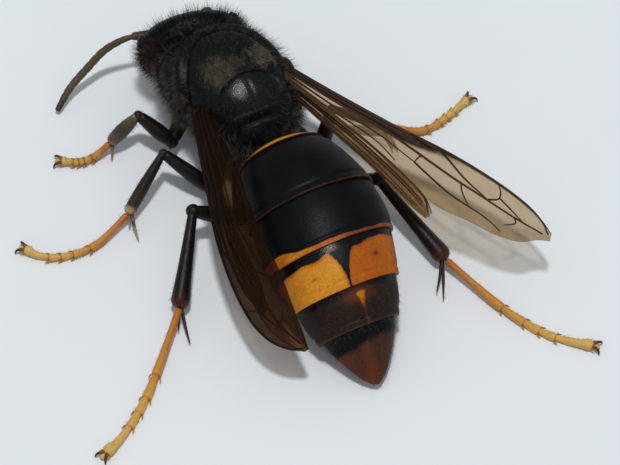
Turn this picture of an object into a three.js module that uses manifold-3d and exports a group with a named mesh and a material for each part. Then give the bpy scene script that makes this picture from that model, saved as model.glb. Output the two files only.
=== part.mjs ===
// A yellow-legged Asian hornet at life size, standing with its wings half folded along its back.
// Millimetres, +Z up. The head points to -Y and the hornet's own left side is +X.
// The origin is on the floor, under the middle of the box round the whole insect.
import * as THREE from 'three';
import { mergeVertices } from 'three/addons/utils/BufferGeometryUtils.js';
import Module from 'manifold-3d';

const wasm = await Module();
wasm.setup();

// Driving dimensions
const GAP = 0.3; // kept between neighbouring pieces
const SLANT_GAP = GAP * 1.05; // the same, measured along the body between slanted faces
const FLOOR = 0;
const HUGE = 60; // side of the blocks that cut a form in two

const HEAD = {
  centre: [1.2, -7.1, 3.6],
  halfWidth: 3.05,
  halfDepth: 1.55,
  halfHeight: 2.45,
  turn: -12, // degrees about Z
  nod: -6, // degrees, minus where the mouth is tucked back
  roll: 5, // degrees, plus where the left side hangs lower
};
// How far the skull is not an ellipsoid
const SKULL = { cheeks: 0.13, temples: 0.1, chin: 0.34, crown: 0.06, hollowBack: 0.25 };
const EYE = { centre: [2.46, -0.5, -0.2], halfSize: [0.62, 0.78, 1.6], lean: 10 };
const CLYPEUS = { centre: [0, -1.05, -1.15], halfSize: [1.3, 0.75, 1.2] };
const SOCKET = { aside: 0.72, forward: -1.35, height: 0.15, halfSize: [0.4, 0.35, 0.4] }; // where a feeler is rooted
const OCELLUS = { radius: 0.2, sunk: 0.1, places: [[0, -0.25], [-0.42, 0.2], [0.42, 0.2]] };
const MANDIBLE = { root: [1.55, -0.95, -2.1], bend: [1.3, -1.25, -2.75], tip: [0.3, -1.35, -3.0], radius: 0.5 };

const WING = { thickness: 0.5, tipStart: 0.85, tipThinning: 0.45 };
const VEIN = { radius: 0.17, lift: 0.42 }; // lift is a share of the wing's thickness
const TEGULAE = { left: [3.6, -3.15, 4.95], right: [-2.65, -2.5, 5.05] };
const TEGULA_HALF_SIZE = [0.5, 0.8, 0.6];

// Rounded ends of a limb: the most that one takes of the length, its length in radii, and its first ring
const LIMB_END = { most: 0.3, length: 0.8, ringAt: 0.22, ringFullness: 0.66 };
const ACROSS_LIMBS = [0.31, 0.17, 0.94]; // a direction that no limb follows

// Leg radii: each list runs from the near end of that length of leg to the far end
const COXA = [0.72, 0.61, 0.4];
const FEMUR = [0.39, 0.52, 0.38];
const TIBIA = { fore: [0.27, 0.48, 0.44], mid: [0.27, 0.42, 0.46], hind: [0.33, 0.45, 0.6] };
const COXA_BEND = 1.6; // how far along the middle radius stands
const LIMB_BEND = 1.2;
const TARSUS = {
  shares: [0, 0.44, 0.59, 0.69, 0.79, 1], // where its five lengths meet
  radii: [0.23, 0.27, 0.33],
  lastRadii: [0.23, 0.3, 0.42],
  firstStart: 0.012,
  overlap: 0.02,
};
const CLAW = {
  radius: 0.13, root: [-0.15, 0.05], bend: [0.22, 0.24], tip: [0.42, 0.38], bendRise: 0.02, tipHeight: 0.12,
};
const SPUR = { radius: 0.15, rootBack: 0.35, pair: [[1, 0], [0.7, 0.5]] }; // share of the long one, and how far aside

// Thorax sizes at places along the body: [y, value]
const THORAX = {
  front: -7.0,
  rear: 1.45,
  middle: [[-7.0, 0.95], [-5.6, 0.85], [-4.2, 0.7], [-3.0, 0.5], [-1.6, 0.3], [0.5, 0.05], [1.45, 0]],
  halfWidth: [[-7.0, 1.8], [-6.5, 2.55], [-5.6, 3.1], [-4.2, 3.32], [-3.0, 3.3], [-1.6, 3.05], [-0.4, 2.6],
    [0.6, 1.8], [1.2, 0.95], [1.45, 0.5]],
  top: [[-7.0, 5.0], [-6.5, 5.75], [-5.6, 6.5], [-4.2, 6.95], [-3.0, 7.0], [-1.6, 6.6], [-0.4, 6.1],
    [0.6, 5.4], [1.2, 4.8], [1.45, 4.55]],
  bottom: [[-7.0, 2.7], [-6.5, 2.0], [-5.6, 1.5], [-4.2, 1.25], [-3.0, 1.2], [-1.6, 1.3], [-0.4, 1.6],
    [0.6, 2.4], [1.2, 3.3], [1.45, 3.75]],
};

// The cuts that part the thorax, and the scutellum set on top
const COLLAR = { centre: [0.6, -1.9, 4.6], halfSize: [2.95, 4.2, 5.2], behind: [0, -3.5, 5], slope: 0.42 };
const SCUTELLUM = { centre: [0.2, -1.05, 5.8], halfSize: [1.95, 1.05, 1.0] };
const REAR_CUT = { place: [0, -0.3, 5], slope: -0.35 };

// Tufts of hair on the back: rows along it, with the angles of their roots round it, in degrees from the left
const TUFTS = {
  rows: [
    { y: -4.95, angles: [50, 70, 90, 110, 130] },
    { y: -4.25, angles: [46, 64, 82, 100, 118, 134] },
    { y: -3.55, angles: [50, 70, 90, 110, 130] },
    { y: -2.9, angles: [64, 82, 100, 116] },
  ],
  sunk: 0.5,
  lengths: [0.8, 0.6, 0.7],
  radius: 0.25,
  backward: 0.2,
};

// Gaster sizes at places along the body: [y, value]. A ring leans back by its lean times its height.
const GASTER = {
  middle: [[1.75, 0], [5, -0.2], [8, -0.15], [10.5, 0.05], [13, 0.25], [14.4, 0.32], [16.6, 0.5]],
  halfWidth: [[1.75, 0.45], [1.95, 0.75], [2.15, 1.7], [2.6, 2.6], [3.6, 3.1], [5.0, 3.5], [6.3, 3.8], [7.6, 3.9],
    [9.3, 3.75], [10.6, 3.45], [11.9, 3.1], [13.0, 2.72], [14.0, 2.18], [15.2, 1.4], [16.0, 0.78], [16.45, 0.28]],
  top: [[1.75, 4.6], [1.95, 5.0], [2.15, 5.9], [2.6, 6.6], [3.6, 7.05], [5.0, 7.2], [6.3, 7.1], [7.6, 6.8],
    [9.3, 6.2], [10.6, 5.6], [11.7, 4.9], [13.0, 3.9], [14.0, 3.05], [15.2, 2.0], [16.0, 1.25], [16.45, 0.85]],
  bottom: [[1.75, 3.85], [1.95, 3.5], [2.15, 2.9], [2.6, 2.3], [3.6, 1.7], [5.0, 1.1], [6.3, 0.8], [7.6, 0.6],
    [9.3, 0.5], [11.9, 0.4], [14.0, 0.4], [15.2, 0.4], [16.45, 0.45]],
  lean: [[1.75, 0], [2.6, 0.2], [6.3, 0.28], [9.3, 0.35], [11.9, 0.4], [14.0, 0.42], [16.45, 0.3]],
  rims: [1.75, 2.54, 6.23, 9.25, 11.65, 13.65, 16.45], // the rear edge of each segment after the first
  step: 0.16, // how far a segment's front is drawn in under the rim before it
  lip: 0.06, // how far a rear rim stands proud
};

// Wing outlines from root to tip: the leading edge and the edge behind it
const WINGS = {
  forewing_left: {
    lead: [[3.15, -2.9, 5.0], [4.02, -0.07, 5.1], [4.91, 3.15, 4.9], [5.65, 6.01, 4.6], [6.01, 8.28, 4.4],
      [6.14, 10.71, 4.1], [5.85, 12.73, 3.9], [5.02, 13.99, 3.7], [4.1, 14.55, 3.6]],
    trail: [[2.6, -2.2, 5.6], [3.0, 0.6, 6.1], [3.1, 3.42, 6.3], [3.5, 6.0, 6.3], [3.65, 8.2, 6.1],
      [3.62, 10.26, 5.6], [3.72, 12.2, 4.9], [3.78, 13.7, 4.2], [3.82, 14.5, 3.65]],
  },
  forewing_right: {
    lead: [[-2.75, -2.4, 5.2], [-4.61, 0.66, 5.1], [-6.82, 3.99, 4.9], [-8.34, 6.07, 4.7], [-9.76, 8.33, 4.5],
      [-11.07, 10.82, 4.2], [-11.6, 12.5, 4.0], [-11.72, 13.5, 3.85]],
    trail: [[-2.1, -1.6, 5.5], [-3.3, 1.3, 5.35], [-4.75, 4.6, 5.15], [-5.7, 8.0, 4.9], [-6.55, 9.75, 4.7],
      [-7.65, 11.1, 4.5], [-8.7, 12.45, 4.25], [-9.8, 13.35, 4.05], [-10.8, 13.55, 3.9], [-11.45, 13.85, 3.82]],
  },
  hindwing_left: {
    lead: [[2.9, -1.2, 4.5], [3.9, 0.9, 4.35], [4.6, 3.2, 4.1], [5.15, 5.6, 3.85], [5.45, 7.8, 3.6],
      [5.45, 9.8, 3.4], [5.0, 11.2, 3.3]],
    trail: [[2.4, -0.6, 4.9], [3.5, 1.2, 4.85], [4.0, 3.1, 4.7], [4.3, 5.4, 4.45], [4.4, 7.4, 4.2],
      [4.45, 9.5, 3.9], [4.75, 11.1, 3.4]],
  },
  hindwing_right: {
    lead: [[-2.7, -1.6, 4.6], [-4.0, 1.3, 4.35], [-5.1, 4.0, 4.15], [-5.95, 6.4, 3.95], [-6.4, 8.2, 3.8],
      [-6.3, 9.3, 3.7]],
    trail: [[-2.3, -0.7, 4.7], [-3.15, 1.95, 4.65], [-4.1, 4.6, 4.5], [-4.8, 7.0, 4.35], [-5.35, 8.7, 4.1],
      [-5.85, 9.45, 3.8]],
  },
};

// Veins in each wing: its width and its way over the membrane as [share of span, share of chord]
const FOREWING_VEINS = [
  { width: 1.25, way: [[0.02, 0.06], [0.3, 0.04], [0.6, 0.05], [0.82, 0.05], [0.97, 0.4]] },
  { width: 1, way: [[0.04, 0.4], [0.3, 0.34], [0.5, 0.28], [0.6, 0.08]] },
  { width: 1, way: [[0.06, 0.62], [0.3, 0.6], [0.5, 0.66], [0.68, 0.82], [0.8, 0.92]] },
  { width: 0.8, way: [[0.5, 0.3], [0.56, 0.52], [0.62, 0.72]] },
  { width: 0.8, way: [[0.6, 0.34], [0.74, 0.4], [0.86, 0.42], [0.93, 0.2]] },
  { width: 0.7, way: [[0.72, 0.4], [0.76, 0.64], [0.8, 0.86]] },
];
const HINDWING_VEINS = [
  { width: 1, way: [[0.03, 0.1], [0.4, 0.08], [0.75, 0.1], [0.95, 0.3]] },
  { width: 0.8, way: [[0.06, 0.55], [0.4, 0.5], [0.6, 0.55], [0.82, 0.75]] },
];

// Feelers: their joints in order
const ANTENNAE = {
  left: {
    scape: [[1.85, -8.62, 3.6], [2.8, -9.0, 3.5], [4.1, -9.3, 3.48]],
    flagellum: [[4.55, -9.4, 3.35], [5.7, -9.62, 2.65], [6.82, -9.5, 1.78], [8.2, -9.1, 0.95], [9.35, -8.34, 0.36]],
  },
  right: {
    scape: [[0.45, -8.62, 3.6], [-0.2, -9.2, 3.2], [-0.95, -9.7, 2.72]],
    flagellum: [[-1.1, -9.95, 2.3], [-0.95, -10.2, 1.6], [-0.3, -10.4, 1.0], [0.7, -10.45, 0.62], [1.8, -10.2, 0.42],
      [2.8, -9.65, 0.36]],
  },
};
const SCAPE = [0.255, 0.3, 0.3];
const FLAGELLUM = [0.27, 0.27, 0.23];

// Legs: where the coxa leaves the body, then the far end of each length of the leg
const LEGS = {
  fore_left: {
    coxa: [2.2, -4.9, 2.4], hip: [4.4, -2.95, 1.25], knee: [5.79, -4.52, 2.79], ankle: [7.59, -4.59, 0.96],
    foot: [[8.8, -4.48, 0.27], [9.69, -4.62, 0.2], [10.5, -5.05, 0.32]],
    spur: [7.8, -3.9, 0.3], girth: 0.9,
  },
  fore_right: {
    coxa: [-1.1, -4.9, 2.4], hip: [-3.1, -3.4, 1.2], knee: [-2.75, -5.5, 2.1], ankle: [-2.3, -7.3, 0.8],
    foot: [[-1.75, -8.4, 0.27], [-1.45, -9.1, 0.2], [-1.3, -9.85, 0.32]],
    spur: [-2.9, -8.0, 0.3], girth: 0.9,
  },
  mid_left: {
    coxa: [1.8, -1.7, 2.1], hip: [3.5, 0.9, 0.85], knee: [5.59, -1.42, 2.88], ankle: [8.62, 0.27, 0.8],
    foot: [[11.35, 1.2, 0.27], [13.9, 0.66, 0.2], [14.8, -0.35, 0.32]],
    spur: [8.65, 1.9, 0.3], girth: 0.9,
  },
  mid_right: {
    coxa: [-1.4, -1.7, 2.1], hip: [-3.2, 1.0, 0.85], knee: [-4.6, -0.4, 2.5], ankle: [-7.5, 0.95, 0.75],
    foot: [[-9.4, 1.85, 0.27], [-11.2, 1.5, 0.2], [-12.75, 0.95, 0.32]],
    spur: [-7.5, 2.5, 0.3], girth: 0.9,
  },
  hind_left: {
    coxa: [1.3, 0.4, 2.3], hip: [2.9, 3.3, 0.85], knee: [5.72, 3.07, 3.07], ankle: [8.58, 7.45, 0.9],
    foot: [[12.58, 11.75, 0.27], [14.8, 13.45, 0.2], [16.05, 14.05, 0.32]],
    spur: [8.85, 9.5, 0.3], girth: 1,
  },
  hind_right: {
    coxa: [-1.3, 0.4, 2.3], hip: [-2.9, 3.5, 0.85], knee: [-4.73, 5.51, 3.1], ankle: [-6.51, 10.83, 0.86],
    foot: [[-8.45, 15.4, 0.27], [-10.05, 17.8, 0.2], [-11.7, 19.2, 0.32]],
    spur: [-5.35, 12.9, 0.3], girth: 1,
  },
};

const FINISH = {
  shell: { color: 0x15181b, roughness: 0.35, metalness: 0.0 },
  banded: { color: 0xd08a35, roughness: 0.4, metalness: 0.0 },
  brown: { color: 0x4a2a20, roughness: 0.45, metalness: 0.0 },
  eye: { color: 0x3c211a, roughness: 0.25, metalness: 0.0 },
  feeler: { color: 0x5a4a26, roughness: 0.6, metalness: 0.0 },
  wing: { color: 0x6a4a34, roughness: 0.35, metalness: 0.0 },
  leg: { color: 0x241e1c, roughness: 0.5, metalness: 0.0 },
  foot: { color: 0xd9a14c, roughness: 0.5, metalness: 0.0 },
};

// A smooth value between [place, value] keys.
function track(keys) {
  const slope = (i) => {
    const before = keys[Math.max(0, i - 1)];
    const after = keys[Math.min(keys.length - 1, i + 1)];
    return (after[1] - before[1]) / (after[0] - before[0]);
  };
  return (place) => {
    if (place <= keys[0][0]) return keys[0][1];
    const last = keys.length - 1;
    if (place >= keys[last][0]) return keys[last][1];
    const i = keys.findIndex((key) => key[0] >= place) - 1;
    const [from, start] = keys[i];
    const [to, end] = keys[i + 1];
    const span = to - from;
    const u = (place - from) / span;
    const ease = u * u * (3 - 2 * u);
    const pullStart = slope(i) * span * u * (1 - u) * (1 - u);
    const pullEnd = slope(i + 1) * span * u * u * (1 - u);
    return start + (end - start) * ease + pullStart - pullEnd;
  };
}

// A closed round form: place(t, around) gives its surface, from one pole at t = 0 to the other at t = 1.
function loft(place, sides, rings) {
  const geometry = new THREE.SphereGeometry(1, sides, rings);
  const position = geometry.attributes.position;
  const point = new THREE.Vector3();
  for (let i = 0; i < position.count; i++) {
    point.fromBufferAttribute(position, i);
    const t = Math.acos(THREE.MathUtils.clamp(-point.y, -1, 1)) / Math.PI;
    const around = Math.atan2(point.z, point.x);
    position.setXYZ(i, ...place(t, around).toArray());
  }
  return geometry;
}

// A round section with slightly squarer shoulders.
function squared(wave) {
  return Math.sign(wave) * Math.abs(wave) ** 0.88;
}

// An ellipsoid with its centre and half sizes.
function bulb(centre, halfSize, sides = 16, rings = 10) {
  const geometry = new THREE.SphereGeometry(1, sides, rings);
  geometry.scale(...halfSize);
  geometry.translate(...centre);
  return geometry;
}

// A round limb along a smooth way, with a radius at each even share of its length and rounded ends.
function limb(points, radii, sides = 8, steps = 6) {
  const path = new THREE.CatmullRomCurve3(points.map((p) => new THREE.Vector3(...p)), false, 'centripetal');
  const length = path.getLength();
  const radius = track(radii.map((r, i) => [i / (radii.length - 1), r]));
  const [first, last] = [0, 1].map((end) => Math.min(LIMB_END.most, (LIMB_END.length * radius(end)) / length));
  const rounded = sides > 5;
  const stops = [[0, 0]];
  if (rounded) stops.push([first * LIMB_END.ringAt, LIMB_END.ringFullness]);
  for (let i = 0; i <= steps; i++) stops.push([first + ((1 - first - last) * i) / steps, 1]);
  if (rounded) stops.push([1 - last * LIMB_END.ringAt, LIMB_END.ringFullness]);
  stops.push([1, 0]);
  const rings = [];
  let side = new THREE.Vector3(...ACROSS_LIMBS);
  for (const [share, fullness] of stops) {
    const tangent = path.getTangentAt(share);
    side = side.clone().addScaledVector(tangent, -side.dot(tangent)).normalize();
    const up = new THREE.Vector3().crossVectors(side, tangent);
    rings.push({ centre: path.getPointAt(share), side, up, radius: fullness * radius(share) });
  }
  return loft((t, around) => {
    const ring = rings[Math.round(t * (rings.length - 1))];
    return ring.centre.clone()
      .addScaledVector(ring.side, ring.radius * Math.cos(around))
      .addScaledVector(ring.up, ring.radius * Math.sin(around));
  }, sides, rings.length - 1);
}

// The surface bent between a wing's two edges: its points and its upward normals.
function bladeSurface(outline) {
  const lead = new THREE.CatmullRomCurve3(outline.lead.map((p) => new THREE.Vector3(...p)));
  const trail = new THREE.CatmullRomCurve3(outline.trail.map((p) => new THREE.Vector3(...p)));
  const at = (u, v) => lead.getPointAt(u).lerp(trail.getPointAt(u), v);
  const normal = (u, v) => {
    const step = 0.01;
    const along = at(Math.min(1, u + step), v).sub(at(Math.max(0, u - step), v));
    const across = at(u, 1).sub(at(u, 0));
    const out = across.cross(along).normalize();
    return out.z < 0 ? out.negate() : out;
  };
  return { at, normal };
}

// A wing's slab, one thickness all over and thinner at its tip.
function blade(outline, alongSteps = 16, acrossSteps = 3) {
  const surface = bladeSurface(outline);
  const geometry = new THREE.BoxGeometry(1, 1, 1, alongSteps, acrossSteps, 1);
  const position = geometry.attributes.position;
  for (let i = 0; i < position.count; i++) {
    const u = position.getX(i) + 0.5;
    const v = position.getY(i) + 0.5;
    const intoTip = Math.max(0, (u - WING.tipStart) / (1 - WING.tipStart));
    const offset = position.getZ(i) * WING.thickness * (1 - WING.tipThinning * intoTip);
    const point = surface.at(u, v).addScaledVector(surface.normal(u, v), offset);
    position.setXYZ(i, ...point.toArray());
  }
  return geometry;
}

function veinsOn(outline, veins) {
  const surface = bladeSurface(outline);
  return veins.map(({ width, way }) => {
    const points = way.map(([u, v]) => (
      surface.at(u, v).addScaledVector(surface.normal(u, v), WING.thickness * VEIN.lift).toArray()
    ));
    const thick = VEIN.radius * width;
    return solid(limb(points, [thick, thick * 0.9, thick * 0.7], 4, way.length));
  });
}

// A closed solid of a geometry, pushed out along its normals by swell.
function solid(geometry, swell = 0) {
  const bare = geometry.clone();
  bare.deleteAttribute('normal');
  bare.deleteAttribute('uv');
  const merged = mergeVertices(bare, 1e-4);
  if (swell > 0) {
    merged.computeVertexNormals();
    const normals = merged.attributes.normal;
    const points = merged.attributes.position;
    const inward = signedVolume(points.array, merged.index.array) < 0 ? -1 : 1;
    for (let i = 0; i < points.count; i++) {
      points.setXYZ(
        i,
        points.getX(i) + normals.getX(i) * swell * inward,
        points.getY(i) + normals.getY(i) * swell * inward,
        points.getZ(i) + normals.getZ(i) * swell * inward,
      );
    }
  }
  const vertProperties = new Float32Array(merged.attributes.position.array);
  const triVerts = new Uint32Array(merged.index.array);
  if (signedVolume(vertProperties, triVerts) < 0) {
    for (let i = 0; i < triVerts.length; i += 3) {
      const swap = triVerts[i];
      triVerts[i] = triVerts[i + 1];
      triVerts[i + 1] = swap;
    }
  }
  return new wasm.Manifold(new wasm.Mesh({ numProp: 3, vertProperties, triVerts }));
}

function signedVolume(points, triangles) {
  let sum = 0;
  for (let i = 0; i < triangles.length; i += 3) {
    const [a, b, c] = [triangles[i] * 3, triangles[i + 1] * 3, triangles[i + 2] * 3];
    sum += points[a] * (points[b + 1] * points[c + 2] - points[b + 2] * points[c + 1])
      - points[a + 1] * (points[b] * points[c + 2] - points[b + 2] * points[c])
      + points[a + 2] * (points[b] * points[c + 1] - points[b + 1] * points[c]);
  }
  return sum / 6;
}

function largest(form) {
  const pieces = form.decompose();
  return pieces.reduce((best, piece) => (piece.volume() > best.volume() ? piece : best));
}

function joined(pieces) {
  return pieces.reduce((whole, piece) => whole.add(piece));
}

// A block whose face lies on a plane through a point, and which fills the side that the normal points to.
function halfSpace(point, normal) {
  const geometry = new THREE.BoxGeometry(HUGE, HUGE, HUGE);
  geometry.translate(0, 0, HUGE / 2);
  const direction = new THREE.Vector3(...normal).normalize();
  geometry.applyQuaternion(new THREE.Quaternion().setFromUnitVectors(new THREE.Vector3(0, 0, 1), direction));
  geometry.translate(...point);
  return solid(geometry);
}

const insect = new THREE.Group();
insect.name = 'hornet';

function addPiece(name, form, finish) {
  const { vertProperties, triVerts } = largest(form).getMesh();
  const geometry = new THREE.BufferGeometry();
  geometry.setAttribute('position', new THREE.BufferAttribute(new Float32Array(vertProperties), 3));
  geometry.setIndex(new THREE.BufferAttribute(new Uint32Array(triVerts), 1));
  geometry.computeVertexNormals();
  const mesh = new THREE.Mesh(geometry, new THREE.MeshStandardMaterial(FINISH[finish]));
  mesh.name = name;
  insect.add(mesh);
}

// Thorax: one smooth form, parted into pronotum, mesothorax and propodeum, with the scutellum set on top
function thoraxPoint(y, around, fullness = 1) {
  const [middle, halfWidth, top, bottom] = ['middle', 'halfWidth', 'top', 'bottom']
    .map((key) => track(THORAX[key])(y));
  const height = (top - bottom) / 2;
  return new THREE.Vector3(
    middle + fullness * halfWidth * squared(Math.cos(around)),
    y,
    bottom + height + fullness * height * squared(Math.sin(around)),
  );
}

function thoraxForm() {
  const place = (t, around) => {
    const edge = 0.06; // the flat end caps take this share of the rings at each end
    const share = THREE.MathUtils.clamp((t - edge) / (1 - 2 * edge), 0, 1);
    const fullness = Math.min(1, t / edge, (1 - t) / edge);
    return thoraxPoint(THREE.MathUtils.lerp(THORAX.front, THORAX.rear, share), around, fullness);
  };
  return loft(place, 20, 14);
}

// Tufts of upright hair on the back, each tapered and rooted well inside the form
function backTufts() {
  const { rows, sunk, lengths, radius, backward } = TUFTS;
  return rows.flatMap(({ y, angles }, row) => angles.map((angle, i) => {
    const around = THREE.MathUtils.degToRad(angle);
    const outward = new THREE.Vector3(Math.cos(around), backward, Math.sin(around)).normalize();
    const foot = thoraxPoint(y, around);
    const length = lengths[(i + row) % lengths.length];
    const way = [-sunk, length / 2, length].map((reach) => foot.clone().addScaledVector(outward, reach).toArray());
    return solid(limb(way, [radius, radius * 0.8, radius * 0.2], 5, 1));
  }));
}

function buildThorax() {
  const form = thoraxForm();
  const whole = solid(form);
  const collar = (shrink) => solid(bulb(COLLAR.centre, COLLAR.halfSize.map((half) => half - shrink), 18, 10));
  const further = ([x, y, z], gap) => [x, y + gap, z];
  const ahead = halfSpace(COLLAR.behind, [0, -1, -COLLAR.slope]);
  const behind = halfSpace(further(COLLAR.behind, GAP), [0, 1, COLLAR.slope]);
  const rear = halfSpace(REAR_CUT.place, [0, 1, REAR_CUT.slope]);
  const rearPart = halfSpace(further(REAR_CUT.place, SLANT_GAP), [0, 1, REAR_CUT.slope]);
  const scutellumForm = bulb(SCUTELLUM.centre, SCUTELLUM.halfSize);
  const scutellumHole = solid(scutellumForm, GAP);
  const pronotum = whole.intersect(ahead).subtract(collar(0));
  const mesothorax = whole.intersect(collar(GAP)).add(whole.intersect(behind))
    .subtract(rear)
    .subtract(scutellumHole);
  const propodeum = whole.intersect(rearPart).subtract(scutellumHole);
  addPiece('pronotum', pronotum, 'shell');
  addPiece('mesothorax', joined([mesothorax, ...backTufts()]), 'shell');
  addPiece('scutellum', solid(scutellumForm), 'shell');
  addPiece('propodeum', propodeum, 'shell');
  return solid(form, GAP);
}

// Head, eyes and mandibles, made upright about the head's centre and then turned into place
function intoHeadPlace(geometry) {
  geometry.rotateY(THREE.MathUtils.degToRad(HEAD.roll));
  geometry.rotateX(THREE.MathUtils.degToRad(-HEAD.nod));
  geometry.rotateZ(THREE.MathUtils.degToRad(HEAD.turn));
  geometry.translate(...HEAD.centre);
  return geometry;
}

function headForm() {
  const geometry = new THREE.SphereGeometry(1, 22, 14);
  const position = geometry.attributes.position;
  for (let i = 0; i < position.count; i++) {
    const [x, y, z] = [position.getX(i), position.getY(i), position.getZ(i)];
    const fullness = 1 + SKULL.cheeks * (4 * x * x * y * y) + SKULL.temples * (4 * x * x * z * z);
    const narrowing = 1 - SKULL.chin * Math.max(0, -z) ** 1.5 - SKULL.crown * Math.max(0, z) ** 2;
    const hollowBack = y > 0 ? 1 - SKULL.hollowBack * (1 - x * x) : 1;
    position.setXYZ(
      i,
      x * HEAD.halfWidth * narrowing * fullness,
      y * HEAD.halfDepth * hollowBack * fullness,
      z * HEAD.halfHeight,
    );
  }
  return geometry;
}

// The face that stands proud of the skull: the clypeus and the sockets of the feelers, each swollen alike
function faceForms(swell = 0) {
  const clypeus = bulb(CLYPEUS.centre, CLYPEUS.halfSize);
  const sockets = [-1, 1].map((side) => (
    bulb([side * SOCKET.aside, SOCKET.forward, SOCKET.height], SOCKET.halfSize, 6, 4)
  ));
  return [clypeus, ...sockets].map((form) => solid(intoHeadPlace(form), swell));
}

function buildHead(thoraxHole) {
  const skull = solid(intoHeadPlace(headForm()));
  const ocelli = OCELLUS.places.map(([x, y]) => {
    const size = [OCELLUS.radius, OCELLUS.radius, OCELLUS.radius];
    return solid(intoHeadPlace(bulb([x, y, HEAD.halfHeight - OCELLUS.sunk], size, 6, 4)));
  });
  const eyes = [-1, 1].map((side) => {
    const geometry = bulb([0, 0, 0], EYE.halfSize, 14, 10);
    geometry.rotateY(THREE.MathUtils.degToRad(-side * EYE.lean));
    geometry.translate(side * EYE.centre[0], EYE.centre[1], EYE.centre[2]);
    return intoHeadPlace(geometry);
  });
  const mandibles = [-1, 1].map((side) => {
    const mirrored = [MANDIBLE.root, MANDIBLE.bend, MANDIBLE.tip].map(([x, y, z]) => [side * x, y, z]);
    const { radius } = MANDIBLE;
    return intoHeadPlace(limb(mirrored, [radius, radius * 0.85, radius * 0.35], 8, 5));
  });
  const orbits = eyes.map((eye) => solid(eye, GAP));
  const head = joined([skull, ...faceForms(), ...ocelli])
    .subtract(orbits[0])
    .subtract(orbits[1])
    .subtract(thoraxHole);
  addPiece('head', head, 'shell');
  addPiece('eye_right', solid(eyes[0]).subtract(thoraxHole), 'eye');
  addPiece('eye_left', solid(eyes[1]).subtract(thoraxHole), 'eye');
  const headHole = joined([solid(intoHeadPlace(headForm()), GAP), ...faceForms(GAP)]);
  addPiece('mandible_right', solid(mandibles[0]).subtract(headHole), 'brown');
  addPiece('mandible_left', solid(mandibles[1]).subtract(headHole), 'brown');
  return headHole;
}

function buildAntennae(headHole) {
  for (const [side, { scape, flagellum }] of Object.entries(ANTENNAE)) {
    const scapeForm = limb(scape, SCAPE, 8, 5);
    addPiece(`scape_${side}`, solid(scapeForm).subtract(headHole), 'feeler');
    const flagellumForm = limb(flagellum, FLAGELLUM, 7, 10);
    const scapeHole = solid(scapeForm, GAP);
    addPiece(`flagellum_${side}`, solid(flagellumForm).subtract(scapeHole), 'feeler');
  }
}

// Gaster: six barrels in line, each drawn in under the rim before it
function gasterSegment(index) {
  const [middle, halfWidth, top, bottom, lean] = ['middle', 'halfWidth', 'top', 'bottom', 'lean']
    .map((key) => track(GASTER[key]));
  const start = GASTER.rims[index] + (index === 0 ? 0 : SLANT_GAP);
  const end = GASTER.rims[index + 1];
  const geometry = new THREE.CylinderGeometry(1, 1, 1, 24, index === 0 ? 6 : 5);
  const position = geometry.attributes.position;
  for (let i = 0; i < position.count; i++) {
    const share = position.getY(i) + 0.5;
    const y = THREE.MathUtils.lerp(start, end, share);
    const drawnIn = index === 0 ? 0 : GASTER.step * (1 - share) ** 2;
    const proud = index === 5 ? 0 : GASTER.lip * share ** 3;
    const height = (top(y) - bottom(y)) / 2;
    const across = position.getX(i) * (halfWidth(y) - drawnIn + proud);
    const upward = position.getZ(i) * (height - drawnIn + proud);
    position.setXYZ(i, middle(y) + across, y + lean(y) * upward, bottom(y) + height + upward);
  }
  return geometry;
}

function buildGaster() {
  const finishes = ['banded', 'shell', 'banded', 'banded', 'shell', 'brown'];
  for (let index = 0; index < 6; index++) {
    addPiece(`gaster_${index + 1}`, solid(gasterSegment(index)), finishes[index]);
  }
}

function buildWings(thoraxHole) {
  for (const [side, centre] of Object.entries(TEGULAE)) {
    const form = bulb(centre, TEGULA_HALF_SIZE, 10, 6);
    addPiece(`tegula_${side}`, solid(form).subtract(thoraxHole), 'brown');
    const tegulaHole = solid(form, GAP);
    for (const [pair, veins] of [['forewing', FOREWING_VEINS], ['hindwing', HINDWING_VEINS]]) {
      const outline = WINGS[`${pair}_${side}`];
      const wing = joined([solid(blade(outline)), ...veinsOn(outline, veins)])
        .subtract(thoraxHole)
        .subtract(tegulaHole);
      addPiece(`${pair}_${side}`, wing, 'wing');
    }
  }
}

// A point a given distance along from one point towards another
function towards(from, to, distance) {
  const start = new THREE.Vector3(...from);
  const step = new THREE.Vector3(...to).sub(start);
  return start.addScaledVector(step.normalize(), distance).toArray();
}

// Tarsus: five short lengths, each wider at its far end, and a pair of claws
function tarsusForm(ankle, foot, girth) {
  const path = new THREE.CatmullRomCurve3([ankle, ...foot].map((p) => new THREE.Vector3(...p)));
  const { shares, radii, lastRadii, firstStart, overlap } = TARSUS;
  const lengths = [];
  for (let i = 0; i < 5; i++) {
    const start = shares[i] + (i === 0 ? firstStart : -overlap);
    const ends = [start, (shares[i] + shares[i + 1]) / 2, shares[i + 1]];
    const points = ends.map((share) => path.getPointAt(share).toArray());
    const widths = i === 4 ? lastRadii : radii;
    lengths.push(solid(limb(points, widths.map((r) => r * girth), 6, 1)));
  }
  const end = path.getPointAt(1);
  const ahead = path.getTangentAt(1).setZ(0).normalize();
  const aside = new THREE.Vector3(-ahead.y, ahead.x, 0);
  for (const side of [-1, 1]) {
    const at = ([forward, sideways], height) => (
      end.clone().addScaledVector(ahead, forward).addScaledVector(aside, side * sideways).setZ(height).toArray()
    );
    const way = [at(CLAW.root, end.z), at(CLAW.bend, end.z + CLAW.bendRise), at(CLAW.tip, CLAW.tipHeight)];
    lengths.push(solid(limb(way, [CLAW.radius, CLAW.radius * 0.9, CLAW.radius * 0.5], 4, 2)));
  }
  return joined(lengths);
}

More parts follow.
